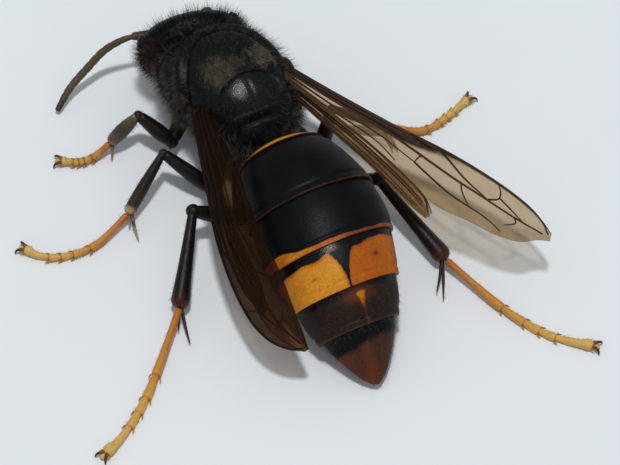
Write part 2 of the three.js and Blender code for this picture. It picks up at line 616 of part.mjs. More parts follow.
// Spurs at the end of a tibia: a long one and a short one beside it, pointing back and down
function spursOn(knee, ankle, reach) {
  const end = new THREE.Vector3(...ankle);
  const along = end.clone().sub(new THREE.Vector3(...knee)).normalize();
  const root = end.clone().addScaledVector(along, -SPUR.rootBack);
  const aside = new THREE.Vector3().crossVectors(along, new THREE.Vector3(0, 0, 1)).normalize();
  return SPUR.pair.map(([share, spread]) => {
    const tip = root.clone().lerp(new THREE.Vector3(...reach), share).addScaledVector(aside, spread);
    tip.z = Math.max(tip.z, SPUR.radius);
    return solid(limb([root.toArray(), tip.toArray()], [SPUR.radius, SPUR.radius * 0.4], 4, 1));
  });
}

function buildLegs(thoraxHole) {
  const aboveFloor = halfSpace([0, 0, FLOOR], [0, 0, 1]);
  for (const [name, { coxa, hip, knee, ankle, foot, spur, girth }] of Object.entries(LEGS)) {
    const thick = (radii) => radii.map((radius) => radius * girth);
    const coxaForm = limb([coxa, towards(coxa, hip, COXA_BEND), hip], thick(COXA), 8, 4);
    const femurForm = limb([hip, towards(hip, knee, LIMB_BEND), knee], thick(FEMUR), 8, 4);
    const tibiaForm = limb([knee, towards(knee, ankle, LIMB_BEND), ankle], thick(TIBIA[name.split('_')[0]]), 8, 4);
    const spurs = spursOn(knee, ankle, spur);
    const femur = solid(femurForm).subtract(solid(coxaForm, GAP));
    const tibia = joined([solid(tibiaForm), ...spurs]).subtract(solid(femurForm, GAP)).intersect(aboveFloor);
    const tarsus = tarsusForm(ankle, foot, girth)
      .subtract(solid(tibiaForm, GAP))
      .intersect(aboveFloor);
    addPiece(`${name}_coxa`, solid(coxaForm).subtract(thoraxHole).intersect(aboveFloor), 'shell');
    addPiece(`${name}_femur`, femur.intersect(aboveFloor), 'leg');
    addPiece(`${name}_tibia`, tibia, 'leg');
    addPiece(`${name}_tarsus`, tarsus, 'foot');
  }
}

const thoraxHole = buildThorax();
const headHole = buildHead(thoraxHole);
buildAntennae(headHole);
buildGaster();
buildWings(thoraxHole);
buildLegs(thoraxHole);

// Centre the box round the whole insect over the origin
const box = new THREE.Box3().setFromObject(insect);
insect.position.set(-(box.min.x + box.max.x) / 2, -(box.min.y + box.max.y) / 2, 0);

export default insect;
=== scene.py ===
"""A yellow-legged Asian hornet, life-size, dressed over its CAD frame and set on a pale floor."""

import logging
import math
from collections.abc import Callable, Sequence
from dataclasses import dataclass, field
from enum import Enum

import bpy
import numpy as np
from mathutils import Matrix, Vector

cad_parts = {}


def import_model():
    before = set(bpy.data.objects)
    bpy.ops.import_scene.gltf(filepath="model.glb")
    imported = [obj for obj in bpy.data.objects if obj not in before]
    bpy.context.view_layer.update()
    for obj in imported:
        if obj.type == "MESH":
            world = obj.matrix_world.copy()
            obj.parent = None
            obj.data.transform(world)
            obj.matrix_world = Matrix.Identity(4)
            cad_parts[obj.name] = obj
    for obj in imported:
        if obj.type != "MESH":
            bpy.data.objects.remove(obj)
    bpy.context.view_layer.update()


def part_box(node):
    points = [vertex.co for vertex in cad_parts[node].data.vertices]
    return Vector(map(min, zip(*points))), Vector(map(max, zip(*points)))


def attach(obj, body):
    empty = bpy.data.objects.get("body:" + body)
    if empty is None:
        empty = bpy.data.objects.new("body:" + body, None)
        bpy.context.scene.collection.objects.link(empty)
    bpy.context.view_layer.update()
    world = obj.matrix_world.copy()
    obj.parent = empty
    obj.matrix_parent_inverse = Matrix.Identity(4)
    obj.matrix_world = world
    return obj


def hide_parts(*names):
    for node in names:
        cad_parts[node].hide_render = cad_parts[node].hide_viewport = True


log = logging.getLogger("hornet")

# Lengths below are the body's own millimetres, with X to its left, Y to its rear and Z up
MM = 0.001
TINY = 1e-6
UP = (0.0, 0.0, 1.0)
BOTH_WAYS = (-1, 1)
SCUTELLUM_CENTRE = (0.2, -1.05, 5.8)

# The whole of a share, and its middle part, which soft noise fills
WHOLE = (0.0, 1.0)
CORE = (0.3, 0.7)

# The border left free round an unwrapped skin
BORDER = 0.03

# The edge angle in degrees that leaves no edge sharp
SMOOTH = 180.0

# The power that makes a round section slightly square
SHOULDERS = 0.88

Array = np.ndarray
Piece = bpy.types.Object
Material = bpy.types.Material
Socket = bpy.types.NodeSocket
Colour = tuple[float, float, float]
Point = tuple[float, float, float]
Range = tuple[float, float]
Keys = tuple[tuple[float, float], ...]
Stops = tuple[tuple[float, Colour], ...]
Veins = tuple[tuple[float, Keys], ...]


class Side(Enum):
    """The two sides of the insect, with the sign of X on each."""

    LEFT = 1
    RIGHT = -1

    @property
    def label(self) -> str:
        """The side's name in lower case."""
        return self.name.lower()


def track(keys: Keys) -> Callable[[Array], Array]:
    """A smooth function through (place, value) keys.

    Args:
        keys: the keys, with rising places.

    Returns:
        A function from places to values.
    """
    places = np.array([key[0] for key in keys])
    values = np.array([key[1] for key in keys])
    slopes = np.empty(len(keys))
    slopes[1:-1] = (values[2:] - values[:-2]) / (places[2:] - places[:-2])
    slopes[0] = (values[1] - values[0]) / (places[1] - places[0])
    slopes[-1] = (values[-1] - values[-2]) / (places[-1] - places[-2])

    def value(place: Array) -> Array:
        """The value at places, held beyond the first and last keys.

        Args:
            place: the places.

        Returns:
            The values.
        """
        held = np.clip(place, places[0], places[-1])
        i = np.clip(np.searchsorted(places, held, side="left") - 1, 0, len(keys) - 2)
        span = places[i + 1] - places[i]
        u = (held - places[i]) / span
        ease = u * u * (3 - 2 * u)
        pull = slopes[i] * span * u * (1 - u) ** 2 - slopes[i + 1] * span * u * u * (1 - u)
        return values[i] + (values[i + 1] - values[i]) * ease + pull

    return value


def smooth_step(low: float, high: float, value: Array) -> Array:
    """A soft step from 0 at low to 1 at high.

    Args:
        low: where the step starts.
        high: where it ends.
        value: the places asked for.

    Returns:
        The step's height at each place.
    """
    u = np.clip((value - low) / (high - low), 0.0, 1.0)
    return u * u * (3 - 2 * u)


def dent(distance: Array, width: float) -> Array:
    """A soft groove or ridge, 1 on its line and near 0 one and a half widths away.

    Args:
        distance: signed distance from the line.
        width: the groove's half width.

    Returns:
        The groove's depth share.
    """
    return np.exp(-((distance / width) ** 2))


def direction(vector: Array) -> Array:
    """A vector's direction, as a vector of length 1."""
    return vector / np.linalg.norm(vector)


def inset(share: Array) -> Array:
    """Shares of an unwrapped square, moved off its borders."""
    return BORDER + (1 - 2 * BORDER) * share


class Way:
    """A smooth path through points, measured by share of its length."""

    LEAST_GAP = 1e-4
    STEP = 0.01

    def __init__(self, points: Sequence[Point], pieces: int = 60) -> None:
        """Lays the path.

        Args:
            points: what it passes through.
            pieces: how finely each length between two points is measured.
        """
        given = np.asarray(points, float)
        padded = np.vstack([2 * given[0] - given[1], given, 2 * given[-1] - given[-2]])
        runs = [self._run(padded[i : i + 4], pieces) for i in range(len(given) - 1)]
        self.points = np.vstack([*runs, given[-1:]])
        steps = np.linalg.norm(np.diff(self.points, axis=0), axis=1)
        reach = np.concatenate([[0.0], np.cumsum(steps)])
        self.length = float(reach[-1])
        self.shares = reach / reach[-1]

    @staticmethod
    def _run(four: Array, pieces: int) -> Array:
        """The path between the middle two of four points.

        Args:
            four: the points.
            pieces: how many points of the path are wanted.

        Returns:
            Points from the second one up to, not with, the third.
        """
        gaps = np.maximum(np.linalg.norm(np.diff(four, axis=0), axis=1) ** 0.5, Way.LEAST_GAP)
        t0, t1, t2, t3 = 0.0, gaps[0], gaps[0] + gaps[1], gaps.sum()
        t = np.linspace(t1, t2, pieces, endpoint=False)[:, None]
        a1 = (t1 - t) / (t1 - t0) * four[0] + (t - t0) / (t1 - t0) * four[1]
        a2 = (t2 - t) / (t2 - t1) * four[1] + (t - t1) / (t2 - t1) * four[2]
        a3 = (t3 - t) / (t3 - t2) * four[2] + (t - t2) / (t3 - t2) * four[3]
        b1 = (t2 - t) / (t2 - t0) * a1 + (t - t0) / (t2 - t0) * a2
        b2 = (t3 - t) / (t3 - t1) * a2 + (t - t1) / (t3 - t1) * a3
        return (t2 - t) / (t2 - t1) * b1 + (t - t1) / (t2 - t1) * b2

    def at(self, share: Array) -> Array:
        """Points at shares of the length.

        Args:
            share: shares from 0 to 1.

        Returns:
            An array of points, one more axis than share.
        """
        return np.stack([np.interp(share, self.shares, self.points[:, k]) for k in range(3)], -1)

    def along(self, share: Array) -> Array:
        """Unit directions at shares of the length.

        Args:
            share: shares from 0 to 1.

        Returns:
            An array of directions.
        """
        ahead = self.at(np.clip(share + self.STEP, 0, 1)) - self.at(np.clip(share - self.STEP, 0, 1))
        return ahead / np.linalg.norm(ahead, axis=-1, keepdims=True)


# Materials


class Tree:
    """Builds the node tree of one material, with lengths in millimetres."""

    MIX_FIRST = 6
    MIX_SECOND = 7
    MIX_COLOUR = 2

    def __init__(self, name: str) -> None:
        """Starts a material.

        Args:
            name: the material's name.
        """
        self.material = bpy.data.materials.new(name)
        self.material.use_nodes = True
        self.nodes = self.material.node_tree.nodes
        self.links = self.material.node_tree.links
        self.shader = self.nodes["Principled BSDF"]
        place = self.nodes.new("ShaderNodeTexCoord")
        scale = self.nodes.new("ShaderNodeVectorMath")
        scale.operation = "SCALE"
        scale.inputs["Scale"].default_value = 1 / MM
        self.links.new(place.outputs["Object"], scale.inputs[0])
        self.place = scale.outputs[0]

    def set(self, name: str, value: object) -> None:
        """Sets or links one input of the shader.

        Args:
            name: the input's name.
            value: a socket, a number or a colour.
        """
        self._feed(self.shader.inputs[name], value)

    def _feed(self, target: Socket, value: object) -> None:
        """Links a socket to an input, or sets the input to a constant.

        Args:
            target: the input.
            value: a socket, a number or a colour.
        """
        if isinstance(value, Socket):
            self.links.new(value, target)
        elif isinstance(value, tuple) and len(target.default_value) == 4:
            target.default_value = (*value, 1.0)
        else:
            target.default_value = value

    def noise(self, size: float, detail: float = 3.0, rough: float = 0.55) -> Socket:
        """Soft noise.

        Args:
            size: the size of its patches in millimetres.
            detail: how many finer layers it has.
            rough: how strong these are.

        Returns:
            Its value from 0 to 1.
        """
        node = self.nodes.new("ShaderNodeTexNoise")
        self.links.new(self.place, node.inputs["Vector"])
        node.inputs["Scale"].default_value = 1 / size
        node.inputs["Detail"].default_value = detail
        node.inputs["Roughness"].default_value = rough
        return node.outputs["Fac"]

    def cells(self, size: float) -> Socket:
        """Small round cells.

        Args:
            size: the size of a cell in millimetres.

        Returns:
            The distance from the nearest cell's centre.
        """
        node = self.nodes.new("ShaderNodeTexVoronoi")
        self.links.new(self.place, node.inputs["Vector"])
        node.inputs["Scale"].default_value = 1 / size
        return node.outputs["Distance"]

    def attribute(self, name: str) -> Socket:
        """A number stored on the mesh.

        Args:
            name: the attribute's name.

        Returns:
            Its value.
        """
        node = self.nodes.new("ShaderNodeAttribute")
        node.attribute_name = name
        return node.outputs["Fac"]

    def sum(self, operation: str, first: object, second: object = 0.0) -> Socket:
        """One step of arithmetic.

        Args:
            operation: the math node's operation.
            first: a socket or number.
            second: a socket or number.

        Returns:
            The result.
        """
        node = self.nodes.new("ShaderNodeMath")
        node.operation = operation
        self._feed(node.inputs[0], first)
        self._feed(node.inputs[1], second)
        return node.outputs[0]

    def ramp(self, value: object, stops: Stops) -> Socket:
        """A colour ramp.

        Args:
            value: what it reads.
            stops: (place, colour) pairs.

        Returns:
            The colour.
        """
        node = self.nodes.new("ShaderNodeValToRGB")
        node.color_ramp.interpolation = "EASE"
        elements = node.color_ramp.elements
        while len(elements) < len(stops):
            elements.new(0.5)
        for element, (place, colour) in zip(elements, stops, strict=True):
            element.position = place
            element.color = (*colour, 1.0)
        self._feed(node.inputs[0], value)
        return node.outputs["Color"]

    def mix(self, share: object, first: object, second: object) -> Socket:
        """A mix of two colours.

        Args:
            share: how much of the second shows.
            first: a socket or colour.
            second: a socket or colour.

        Returns:
            The mixed colour.
        """
        node = self.nodes.new("ShaderNodeMix")
        node.data_type = "RGBA"
        self._feed(node.inputs[0], share)
        self._feed(node.inputs[self.MIX_FIRST], first)
        self._feed(node.inputs[self.MIX_SECOND], second)
        return node.outputs[self.MIX_COLOUR]

    def span(self, value: object, old: Range, new: Range) -> Socket:
        """Moves a value from one range to another.

        Args:
            value: the value.
            old: the range it has.
            new: the range it gets.

        Returns:
            The value in the new range, held inside it.
        """
        node = self.nodes.new("ShaderNodeMapRange")
        self._feed(node.inputs["Value"], value)
        node.inputs["From Min"].default_value, node.inputs["From Max"].default_value = old
        node.inputs["To Min"].default_value, node.inputs["To Max"].default_value = new
        return node.outputs[0]

    def see_through(self, stain: Colour, share: object) -> None:
        """Lets stained light through part of the surface.

        Args:
            stain: the colour that the light takes.
            share: how much of the surface lets it through.
        """
        output = self.nodes["Material Output"]
        glass = self.nodes.new("ShaderNodeBsdfTransparent")
        glass.inputs["Color"].default_value = (*stain, 1.0)
        mixed = self.nodes.new("ShaderNodeMixShader")
        self._feed(mixed.inputs[0], share)
        self.links.new(self.shader.outputs[0], mixed.inputs[1])
        self.links.new(glass.outputs[0], mixed.inputs[2])
        self.links.new(mixed.outputs[0], output.inputs["Surface"])

    def bump(self, height: object, depth: float, strength: float = 1.0) -> None:
        """Adds a bump, over any bump there is.

        Args:
            height: what it reads.
            depth: its depth in millimetres.
            strength: how strongly it shows.
        """
        node = self.nodes.new("ShaderNodeBump")
        node.inputs["Distance"].default_value = depth * MM
        node.inputs["Strength"].default_value = strength
        self._feed(node.inputs["Height"], height)
        normal = self.shader.inputs["Normal"]
        if normal.is_linked:
            self.links.new(normal.links[0].from_socket, node.inputs["Normal"])
        self.links.new(node.outputs["Normal"], normal)


@dataclass(frozen=True)
class Finish:
    """A finish of hard cuticle, coloured by a mark and a hue stored on the mesh."""

    name: str
    ground: Colour = (0.002, 0.003, 0.0035)
    ground_light: Colour = (0.006, 0.007, 0.007)
    marks: Stops = ((0.0, (0.35, 0.16, 0.04)), (1.0, (0.12, 0.04, 0.02)))
    shade: Colour = (0.05, 0.02, 0.01)
    rough: Range = (0.36, 0.52)
    patches: float = 1.3
    speckles: float = 0.12
    pits: float = 0.07
    pit_depth: float = 0.007
    grain: float = 0.24
    wear: float = 0.012
    shine: float = 0.22
    gleam: float = 1.4
    polish: float = 0.4

    def build(self) -> Material:
        """Makes the material.

        Returns:
            The material.
        """
        tree = Tree(self.name)
        broad = tree.noise(self.patches)
        fine = tree.noise(self.speckles, 4.0)
        gloss = tree.attribute("gloss")
        ground = tree.mix(tree.span(broad, (0.35, 0.7), WHOLE), self.ground, self.ground_light)
        worn = tree.sum("ADD", tree.attribute("mark"), tree.span(fine, CORE, (-0.12, 0.12)))
        hue = tree.sum("ADD", tree.attribute("hue"), tree.span(broad, CORE, (-0.08, 0.08)))
        shaded = tree.mix(tree.span(fine, (0.3, 0.75), (0.0, 0.35)), tree.ramp(hue, self.marks), self.shade)
        tree.set("Base Color", tree.mix(tree.span(worn, CORE, WHOLE), ground, shaded))
        dulled = tree.sum("SUBTRACT", 1.0, tree.sum("MULTIPLY", gloss, self.polish))
        tree.set("Roughness", tree.sum("MULTIPLY", tree.span(fine, CORE, self.rough), dulled))
        tree.set("Specular IOR Level", tree.span(gloss, WHOLE, (self.shine, self.shine * self.gleam)))
        tree.bump(tree.cells(self.pits), self.pit_depth)
        tree.bump(tree.noise(self.grain, 5.0, 0.6), self.wear, 0.6)
        return tree.material


@dataclass(frozen=True)
class LengthFinish:
    """A finish that changes along a limb, with another tone where the band attribute says so."""

    name: str
    stops: Stops
    rough: Range = (0.3, 0.5)
    glow: float = 0.0
    shine: float = 0.3
    joint: Colour = (0.17, 0.045, 0.016)
    soil: Colour = (0.03, 0.015, 0.01)
    depth_of_glow: Colour = (0.3 * MM, 0.15 * MM, 0.06 * MM)

    def build(self) -> Material:
        """Makes the material.

        Returns:
            The material.
        """
        tree = Tree(self.name)
        fine = tree.noise(0.09, 4.0)
        broad = tree.noise(0.6)
        along = tree.sum("ADD", tree.attribute("along"), tree.span(broad, CORE, (-0.06, 0.06)))
        colour = tree.mix(tree.attribute("band"), tree.ramp(along, self.stops), self.joint)
        tree.set("Base Color", tree.mix(tree.span(fine, (0.35, 0.75), (0.0, 0.3)), colour, self.soil))
        tree.set("Roughness", tree.span(fine, CORE, self.rough))
        tree.set("Specular IOR Level", self.shine)
        tree.set("Subsurface Weight", self.glow)
        tree.set("Subsurface Radius", self.depth_of_glow)
        tree.set("Subsurface Scale", 1.0)
        tree.bump(fine, 0.02, 0.7)
        tree.bump(tree.cells(0.07), 0.008, 0.6)
        return tree.material


@dataclass(frozen=True)
class EyeFinish:
    """A compound eye of fine facets under a glossy coat."""

    name: str = "eye"
    dark: Colour = (0.008, 0.004, 0.003)
    light: Colour = (0.035, 0.012, 0.008)
    facet: float = 0.05

    def build(self) -> Material:
        """Makes the material.

        Returns:
            The material.
        """
        tree = Tree(self.name)
        facets = tree.cells(self.facet)
        tone = tree.mix(tree.span(tree.noise(0.8), CORE, WHOLE), self.dark, self.light)
        tree.set("Base Color", tree.mix(tree.span(facets, (0.2, 0.6), (0.0, 0.5)), tone, self.dark))
        tree.set("Roughness", tree.span(facets, (0.0, 0.6), (0.22, 0.4)))
        tree.set("Specular IOR Level", 0.4)
        tree.bump(facets, 0.006, 0.8)
        return tree.material


@dataclass(frozen=True)
class MembraneFinish:
    """A thin wing membrane, darker where its depth attribute says so."""

    name: str
    clear: Colour
    dusky: Colour
    opacity: Range
    stain: Colour
    stained: Range
    rough: Range = (0.3, 0.45)
    shine: float = 0.25

    def build(self) -> Material:
        """Makes the material.

        Returns:
            The material.
        """
        tree = Tree(self.name)
        cloud = tree.noise(1.1)
        fine = tree.noise(0.07)
        tinted = tree.sum("ADD", tree.attribute("depth"), tree.span(cloud, CORE, (-0.1, 0.12)))
        tree.set("Base Color", tree.mix(tree.span(tinted, WHOLE, WHOLE), self.clear, self.dusky))
        tree.set("Alpha", tree.span(tinted, WHOLE, self.opacity))
        tree.set("Roughness", tree.span(fine, CORE, self.rough))
        tree.set("Specular IOR Level", self.shine)
        tree.bump(cloud, 0.03, 0.6)
        tree.bump(fine, 0.006, 0.5)
        tree.see_through(self.stain, tree.span(tinted, WHOLE, self.stained))
        return tree.material


@dataclass(frozen=True)
class HairFinish:
    """Fine stiff hair with a tone of its own on each tuft."""

    name: str
    root: Colour
    tip: Colour
    shine: float = 0.3

    def build(self) -> Material:
        """Makes the material.

        Returns:
            The material.
        """
        tree = Tree(self.name)
        uneven = tree.span(tree.noise(0.5), CORE, (-0.25, 0.25))
        along = tree.sum("ADD", tree.attribute("along"), uneven)
        tree.set("Base Color", tree.ramp(along, ((0.0, self.root), (1.0, self.tip))))
        tree.set("Roughness", tree.span(tree.noise(0.15), CORE, (0.4, 0.6)))
        tree.set("Specular IOR Level", self.shine)
        return tree.material


@dataclass(frozen=True)
class FloorFinish:
    """A pale matt floor with a faint grain."""

    name: str = "floor"
    pale: Colour = (0.8, 0.84, 0.87)
    shade: Colour = (0.78, 0.82, 0.85)

    def build(self) -> Material:
        """Makes the material.

        Returns:
            The material.
        """
        tree = Tree(self.name)
        tree.set("Base Color", tree.mix(tree.noise(9.0), self.pale, self.shade))
        tree.set("Roughness", tree.span(tree.noise(0.8), CORE, (0.55, 0.65)))
        tree.set("Specular IOR Level", 0.25)
        tree.bump(tree.noise(0.3, 4.0), 0.01, 0.3)
        return tree.material


AnyFinish = Finish | LengthFinish | EyeFinish | MembraneFinish | HairFinish | FloorFinish


# Making pieces


class Workbench:
    """Makes pieces from primitives in the body's own millimetres and hands them to the frame."""

    CAP = ((0.0, 0.0), (0.1, 0.45), (0.3, 0.72), (0.6, 0.92))
    CAP_SHARE = 0.3
    GROOVE_DEPTH = 0.13
    GROOVE_WIDTH = 0.008
    FIRST_SIDE = (0.31, 0.17, 0.94)

    def __init__(self) -> None:
        """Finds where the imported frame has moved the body's own zero."""
        low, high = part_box("scutellum")
        centre = (low + high) / 2
        self.shift = np.array(centre) - np.array(SCUTELLUM_CENTRE) * MM
        self.materials: dict[str, Material] = {}
        self.made: list[str] = []

    def to_scene(self, points: Array) -> Array:
        """Turns body millimetres into scene metres.

        Args:
            points: points in millimetres.

        Returns:
            The points in metres, in the shared frame.
        """
        return np.asarray(points) * MM + self.shift

    def material(self, finish: AnyFinish) -> Material:
        """The material of a finish, made once.

        Args:
            finish: the finish.

        Returns:
            Its material.
        """
        if finish.name not in self.materials:
            self.materials[finish.name] = finish.build()
        return self.materials[finish.name]

    @staticmethod
    def clear() -> None:
        """Deselects everything."""
        bpy.ops.object.select_all(action="DESELECT")

    def ball(self, name: str, segments: int = 32, rings: int = 16) -> Piece:
        """A unit ball at the scene's zero.

        Args:
            name: its name.
            segments: sides round it.
            rings: rings from pole to pole.

        Returns:
            The new piece.
        """
        self.clear()
        bpy.ops.mesh.primitive_uv_sphere_add(segments=segments, ring_count=rings, radius=1)
        piece = bpy.context.object
        piece.name = name
        return piece

    def sheet(self, name: str, along: int, across: int) -> Piece:
        """A flat unit sheet from (-1, -1) to (1, 1).

        Args:
            name: its name.
            along: cells along X.
            across: cells along Y.

        Returns:
            The new piece.
        """
        self.clear()
        bpy.ops.mesh.primitive_grid_add(x_subdivisions=along, y_subdivisions=across, size=2)
        piece = bpy.context.object
        piece.name = name
        return piece

    @staticmethod
    def points(piece: Piece) -> Array:
        """The piece's vertices as an array.

        Args:
            piece: the piece.

        Returns:
            Its vertices, in its own units.
        """
        flat = np.empty(len(piece.data.vertices) * 3)
        piece.data.vertices.foreach_get("co", flat)
        return flat.reshape(-1, 3)

    def local(self, piece: Piece) -> Array:
        """The piece's vertices in body millimetres."""
        return (self.points(piece) - self.shift) / MM

    def place(self, piece: Piece, points: Array) -> None:
        """Moves the piece's vertices, as a sculptor would.

        Args:
            piece: the piece.
            points: the vertices' new places in body millimetres.
        """
        places = np.ascontiguousarray(self.to_scene(points), dtype=np.float64)
        piece.data.vertices.foreach_set("co", places.ravel())
        piece.data.update()

    @staticmethod
    def note(piece: Piece, name: str, values: Array | float) -> None:
        """Stores a number on each vertex.

        Args:
            piece: the piece.
            name: the attribute's name.
            values: one number for each vertex, or one for all.
        """
        count = len(piece.data.vertices)
        store = piece.data.attributes.get(name) or piece.data.attributes.new(name, "FLOAT", "POINT")
        store.data.foreach_set("value", np.broadcast_to(np.asarray(values, float), (count,)).copy())

    def unwrap(self, piece: Piece, share: Array, around: Array) -> None:
        """Stores where each vertex of a loft lies when its skin is unwrapped.

        Args:
            piece: the piece.
            share: the share from pole to pole.
            around: the angle round.
        """
        self.note(piece, "unwrap_u", inset(around / math.tau + 0.5))
        self.note(piece, "unwrap_v", inset(share))

    def tube(
        self,
        name: str,
        way: Sequence[Point],
        radii: Sequence[float],
        sides: int = 16,
        steps: int = 20,
        flat: float = 1.0,
        alongs: Range = WHOLE,
        grooves: tuple[float, ...] = (),
    ) -> Piece:
        """A round limb along a smooth way, with rounded ends.

        Args:
            name: its name.
            way: the points that it passes through.
            radii: its radius at even shares of its length.
            sides: sides round it.
            steps: rings along it, ends left out.
            flat: its thickness as a share of its width.
            alongs: the along value at its start and end.
            grooves: shares of the length where a narrow groove runs round.

        Returns:
            The new piece.
        """
        path = Way(way)
        radius = track(tuple((i / (len(radii) - 1), r) for i, r in enumerate(radii)))
        ends = [min(self.CAP_SHARE, 0.8 * float(radius(np.array(end))) / path.length) for end in WHOLE]
        stops = [(ends[0] * share, fullness) for share, fullness in self.CAP]
        stops += [(share, 1.0) for share in np.linspace(ends[0], 1 - ends[1], steps + 1)]
        stops += [(1 - ends[1] * share, fullness) for share, fullness in reversed(self.CAP)]
        shares = np.array([stop[0] for stop in stops])
        full = np.array([stop[1] for stop in stops]) * radius(shares)
        for groove in grooves:
            full *= 1 - self.GROOVE_DEPTH * dent(shares - groove, self.GROOVE_WIDTH)
        centres = path.at(shares)
        tangents = path.along(shares)
        sideways = self._sideways(tangents)
        upward = np.cross(sideways, tangents)
        piece = self.ball(name, sides, len(stops) - 1)
        unit = self.points(piece)
        ring = np.rint(np.arccos(np.clip(-unit[:, 2], -1, 1)) / math.pi * (len(stops) - 1)).astype(int)
        around = np.arctan2(unit[:, 1], unit[:, 0])
        offset = sideways[ring] * np.cos(around)[:, None] + flat * upward[ring] * np.sin(around)[:, None]
        self.place(piece, centres[ring] + offset * full[ring][:, None])
        self.note(piece, "along", alongs[0] + (alongs[1] - alongs[0]) * shares[ring])
        return piece

    def _sideways(self, tangents: Array) -> Array:
        """Directions across a path that turn with it and don't twist.

        Args:
            tangents: the path's directions.

        Returns:
            One direction for each.
        """
        side = np.array(self.FIRST_SIDE)
        sides = []
        for tangent in tangents:
            side = direction(side - tangent * side.dot(tangent))
            sides.append(side)
        return np.array(sides)

    def bulb(self, name: str, centre: Point, half_size: Point, segments: int, rings: int) -> Piece:
        """An ellipsoid.

        Args:
            name: its name.
            centre: its centre in body millimetres.
            half_size: its half sizes in millimetres.
            segments: sides round it.
            rings: rings from pole to pole.

        Returns:
            The new piece.
        """
        piece = self.ball(name, segments, rings)
        self.place(piece, self.points(piece) * half_size + np.array(centre))
        return piece

    def join(self, name: str, pieces: Sequence[Piece]) -> Piece:
        """Joins pieces into one object.

        Args:
            name: the joined piece's name.
            pieces: what is joined.

        Returns:
            The joined piece.
        """
        self.clear()
        for piece in pieces:
            piece.select_set(True)
        bpy.context.view_layer.objects.active = pieces[0]
        if len(pieces) > 1:
            bpy.ops.object.join()
        joined = bpy.context.object
        joined.name = name
        return joined

    def thicken(self, piece: Piece, thickness: float) -> None:
        """Gives a sheet a thickness.

        Args:
            piece: the sheet.
            thickness: its thickness in millimetres.
        """
        self.clear()
        piece.select_set(True)
        bpy.context.view_layer.objects.active = piece
        solidify = piece.modifiers.new("thickness", "SOLIDIFY")
        solidify.thickness = thickness * MM
        solidify.offset = 0
        bpy.ops.object.modifier_apply(modifier=solidify.name)

    def hand_over(
        self,
        piece: Piece,
        nodes: Sequence[str],
        slot: str,
        finish: AnyFinish,
        angle: float = 60.0,
    ) -> Piece:
        """Recalculates normals, shades, dresses and attaches a finished piece, hides the CAD nodes that it
        stands for and lists it.

        Args:
            piece: the piece.
            nodes: the CAD nodes that it stands for.
            slot: not used.
            finish: its finish.
            angle: edges sharper than this stay sharp, in degrees.

        Returns:
            The piece.
        """
        self.clear()
        piece.select_set(True)
        bpy.context.view_layer.objects.active = piece
        bpy.ops.object.mode_set(mode="EDIT")
        bpy.ops.mesh.select_all(action="SELECT")
        bpy.ops.mesh.normals_make_consistent(inside=False)
        bpy.ops.object.mode_set(mode="OBJECT")
        bpy.ops.object.shade_smooth_by_angle(angle=math.radians(angle))
        piece.data.materials.clear()
        piece.data.materials.append(self.material(finish))
        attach(piece, "root")
        if nodes:
            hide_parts(*nodes)
        self.made.append(piece.name)
        log.info("piece %s: %d faces", piece.name, len(piece.data.polygons))
        return piece

    def assemble(
        self,
        name: str,
        pieces: Sequence[Piece],
        nodes: Sequence[str],
        slot: str,
        finish: AnyFinish,
        angle: float = 60.0,
    ) -> Piece:
        """Joins pieces into one and hands it over.

        Args:
            name: the joined piece's name.
            pieces: what is joined.
            nodes: the CAD nodes that it stands for.
            slot: not used.
            finish: its finish.
            angle: edges sharper than this stay sharp, in degrees.

        Returns:
            The joined piece.
        """
        return self.hand_over(self.join(name, pieces), nodes, slot, finish, angle)


def loft_shares(ball: Array) -> tuple[Array, Array]:
    """Reads a unit ball as a loft from one pole to the other.

    Args:
        ball: the ball's vertices.

    Returns:
        The share from pole to pole and the angle round, for each vertex.
    """
    share = np.arccos(np.clip(-ball[:, 2], -1, 1)) / math.pi
    return share, np.arctan2(ball[:, 1], ball[:, 0])


def squared(wave: Array) -> Array:
    """Cosines or sines made fuller, for a round section with slightly square shoulders."""
    return np.sign(wave) * np.abs(wave) ** SHOULDERS


def from_scutellum(points: Array) -> Array:
    """How far points lie from the scutellum's middle, seen from above, with 1 at its rim."""
    return np.hypot((points[:, 0] - SCUTELLUM_CENTRE[0]) / 2.0, (points[:, 1] - SCUTELLUM_CENTRE[1]) / 1.1)


# Finishes of the hornet's parts

SHELL = Finish(
    "shell",
    ground=(0.0012, 0.002, 0.0022),
    ground_light=(0.004, 0.005, 0.005),
    marks=(
        (0.0, (0.6, 0.24, 0.03)),
        (0.5, (0.2, 0.06, 0.015)),
        (0.75, (0.05, 0.017, 0.011)),
        (1.0, (0.025, 0.01, 0.007)),
    ),
    shine=0.17,
)
GASTER_SHELL = Finish(
    "gaster",
    ground=(0.001, 0.0018, 0.0022),
    ground_light=(0.003, 0.0042, 0.005),
    marks=(
        (0.0, (0.72, 0.29, 0.02)),
        (0.3, (0.46, 0.11, 0.006)),
        (0.65, (0.12, 0.03, 0.01)),
        (1.0, (0.024, 0.016, 0.013)),
    ),
    rough=(0.36, 0.5),
    pits=0.1,
    pit_depth=0.004,
    shine=0.1,
)
EYE_FINISH = EyeFinish()
FEELER = LengthFinish(
    "feeler",
    (
        (0.0, (0.03, 0.016, 0.009)),
        (0.35, (0.075, 0.052, 0.022)),
        (0.8, (0.09, 0.068, 0.034)),
        (1.0, (0.04, 0.022, 0.012)),
    ),
    joint=(0.03, 0.018, 0.01),
)
MANDIBLE_FINISH = LengthFinish(
    "mandible",
    ((0.0, (0.4, 0.16, 0.03)), (0.6, (0.2, 0.06, 0.015)), (1.0, (0.02, 0.008, 0.005))),
)
LEG = LengthFinish(
    "leg",
    (
        (0.0, (0.004, 0.0045, 0.005)),
        (0.8, (0.006, 0.005, 0.005)),
        (0.94, (0.045, 0.012, 0.008)),
        (1.0, (0.07, 0.018, 0.01)),
    ),
    shine=0.2,
)
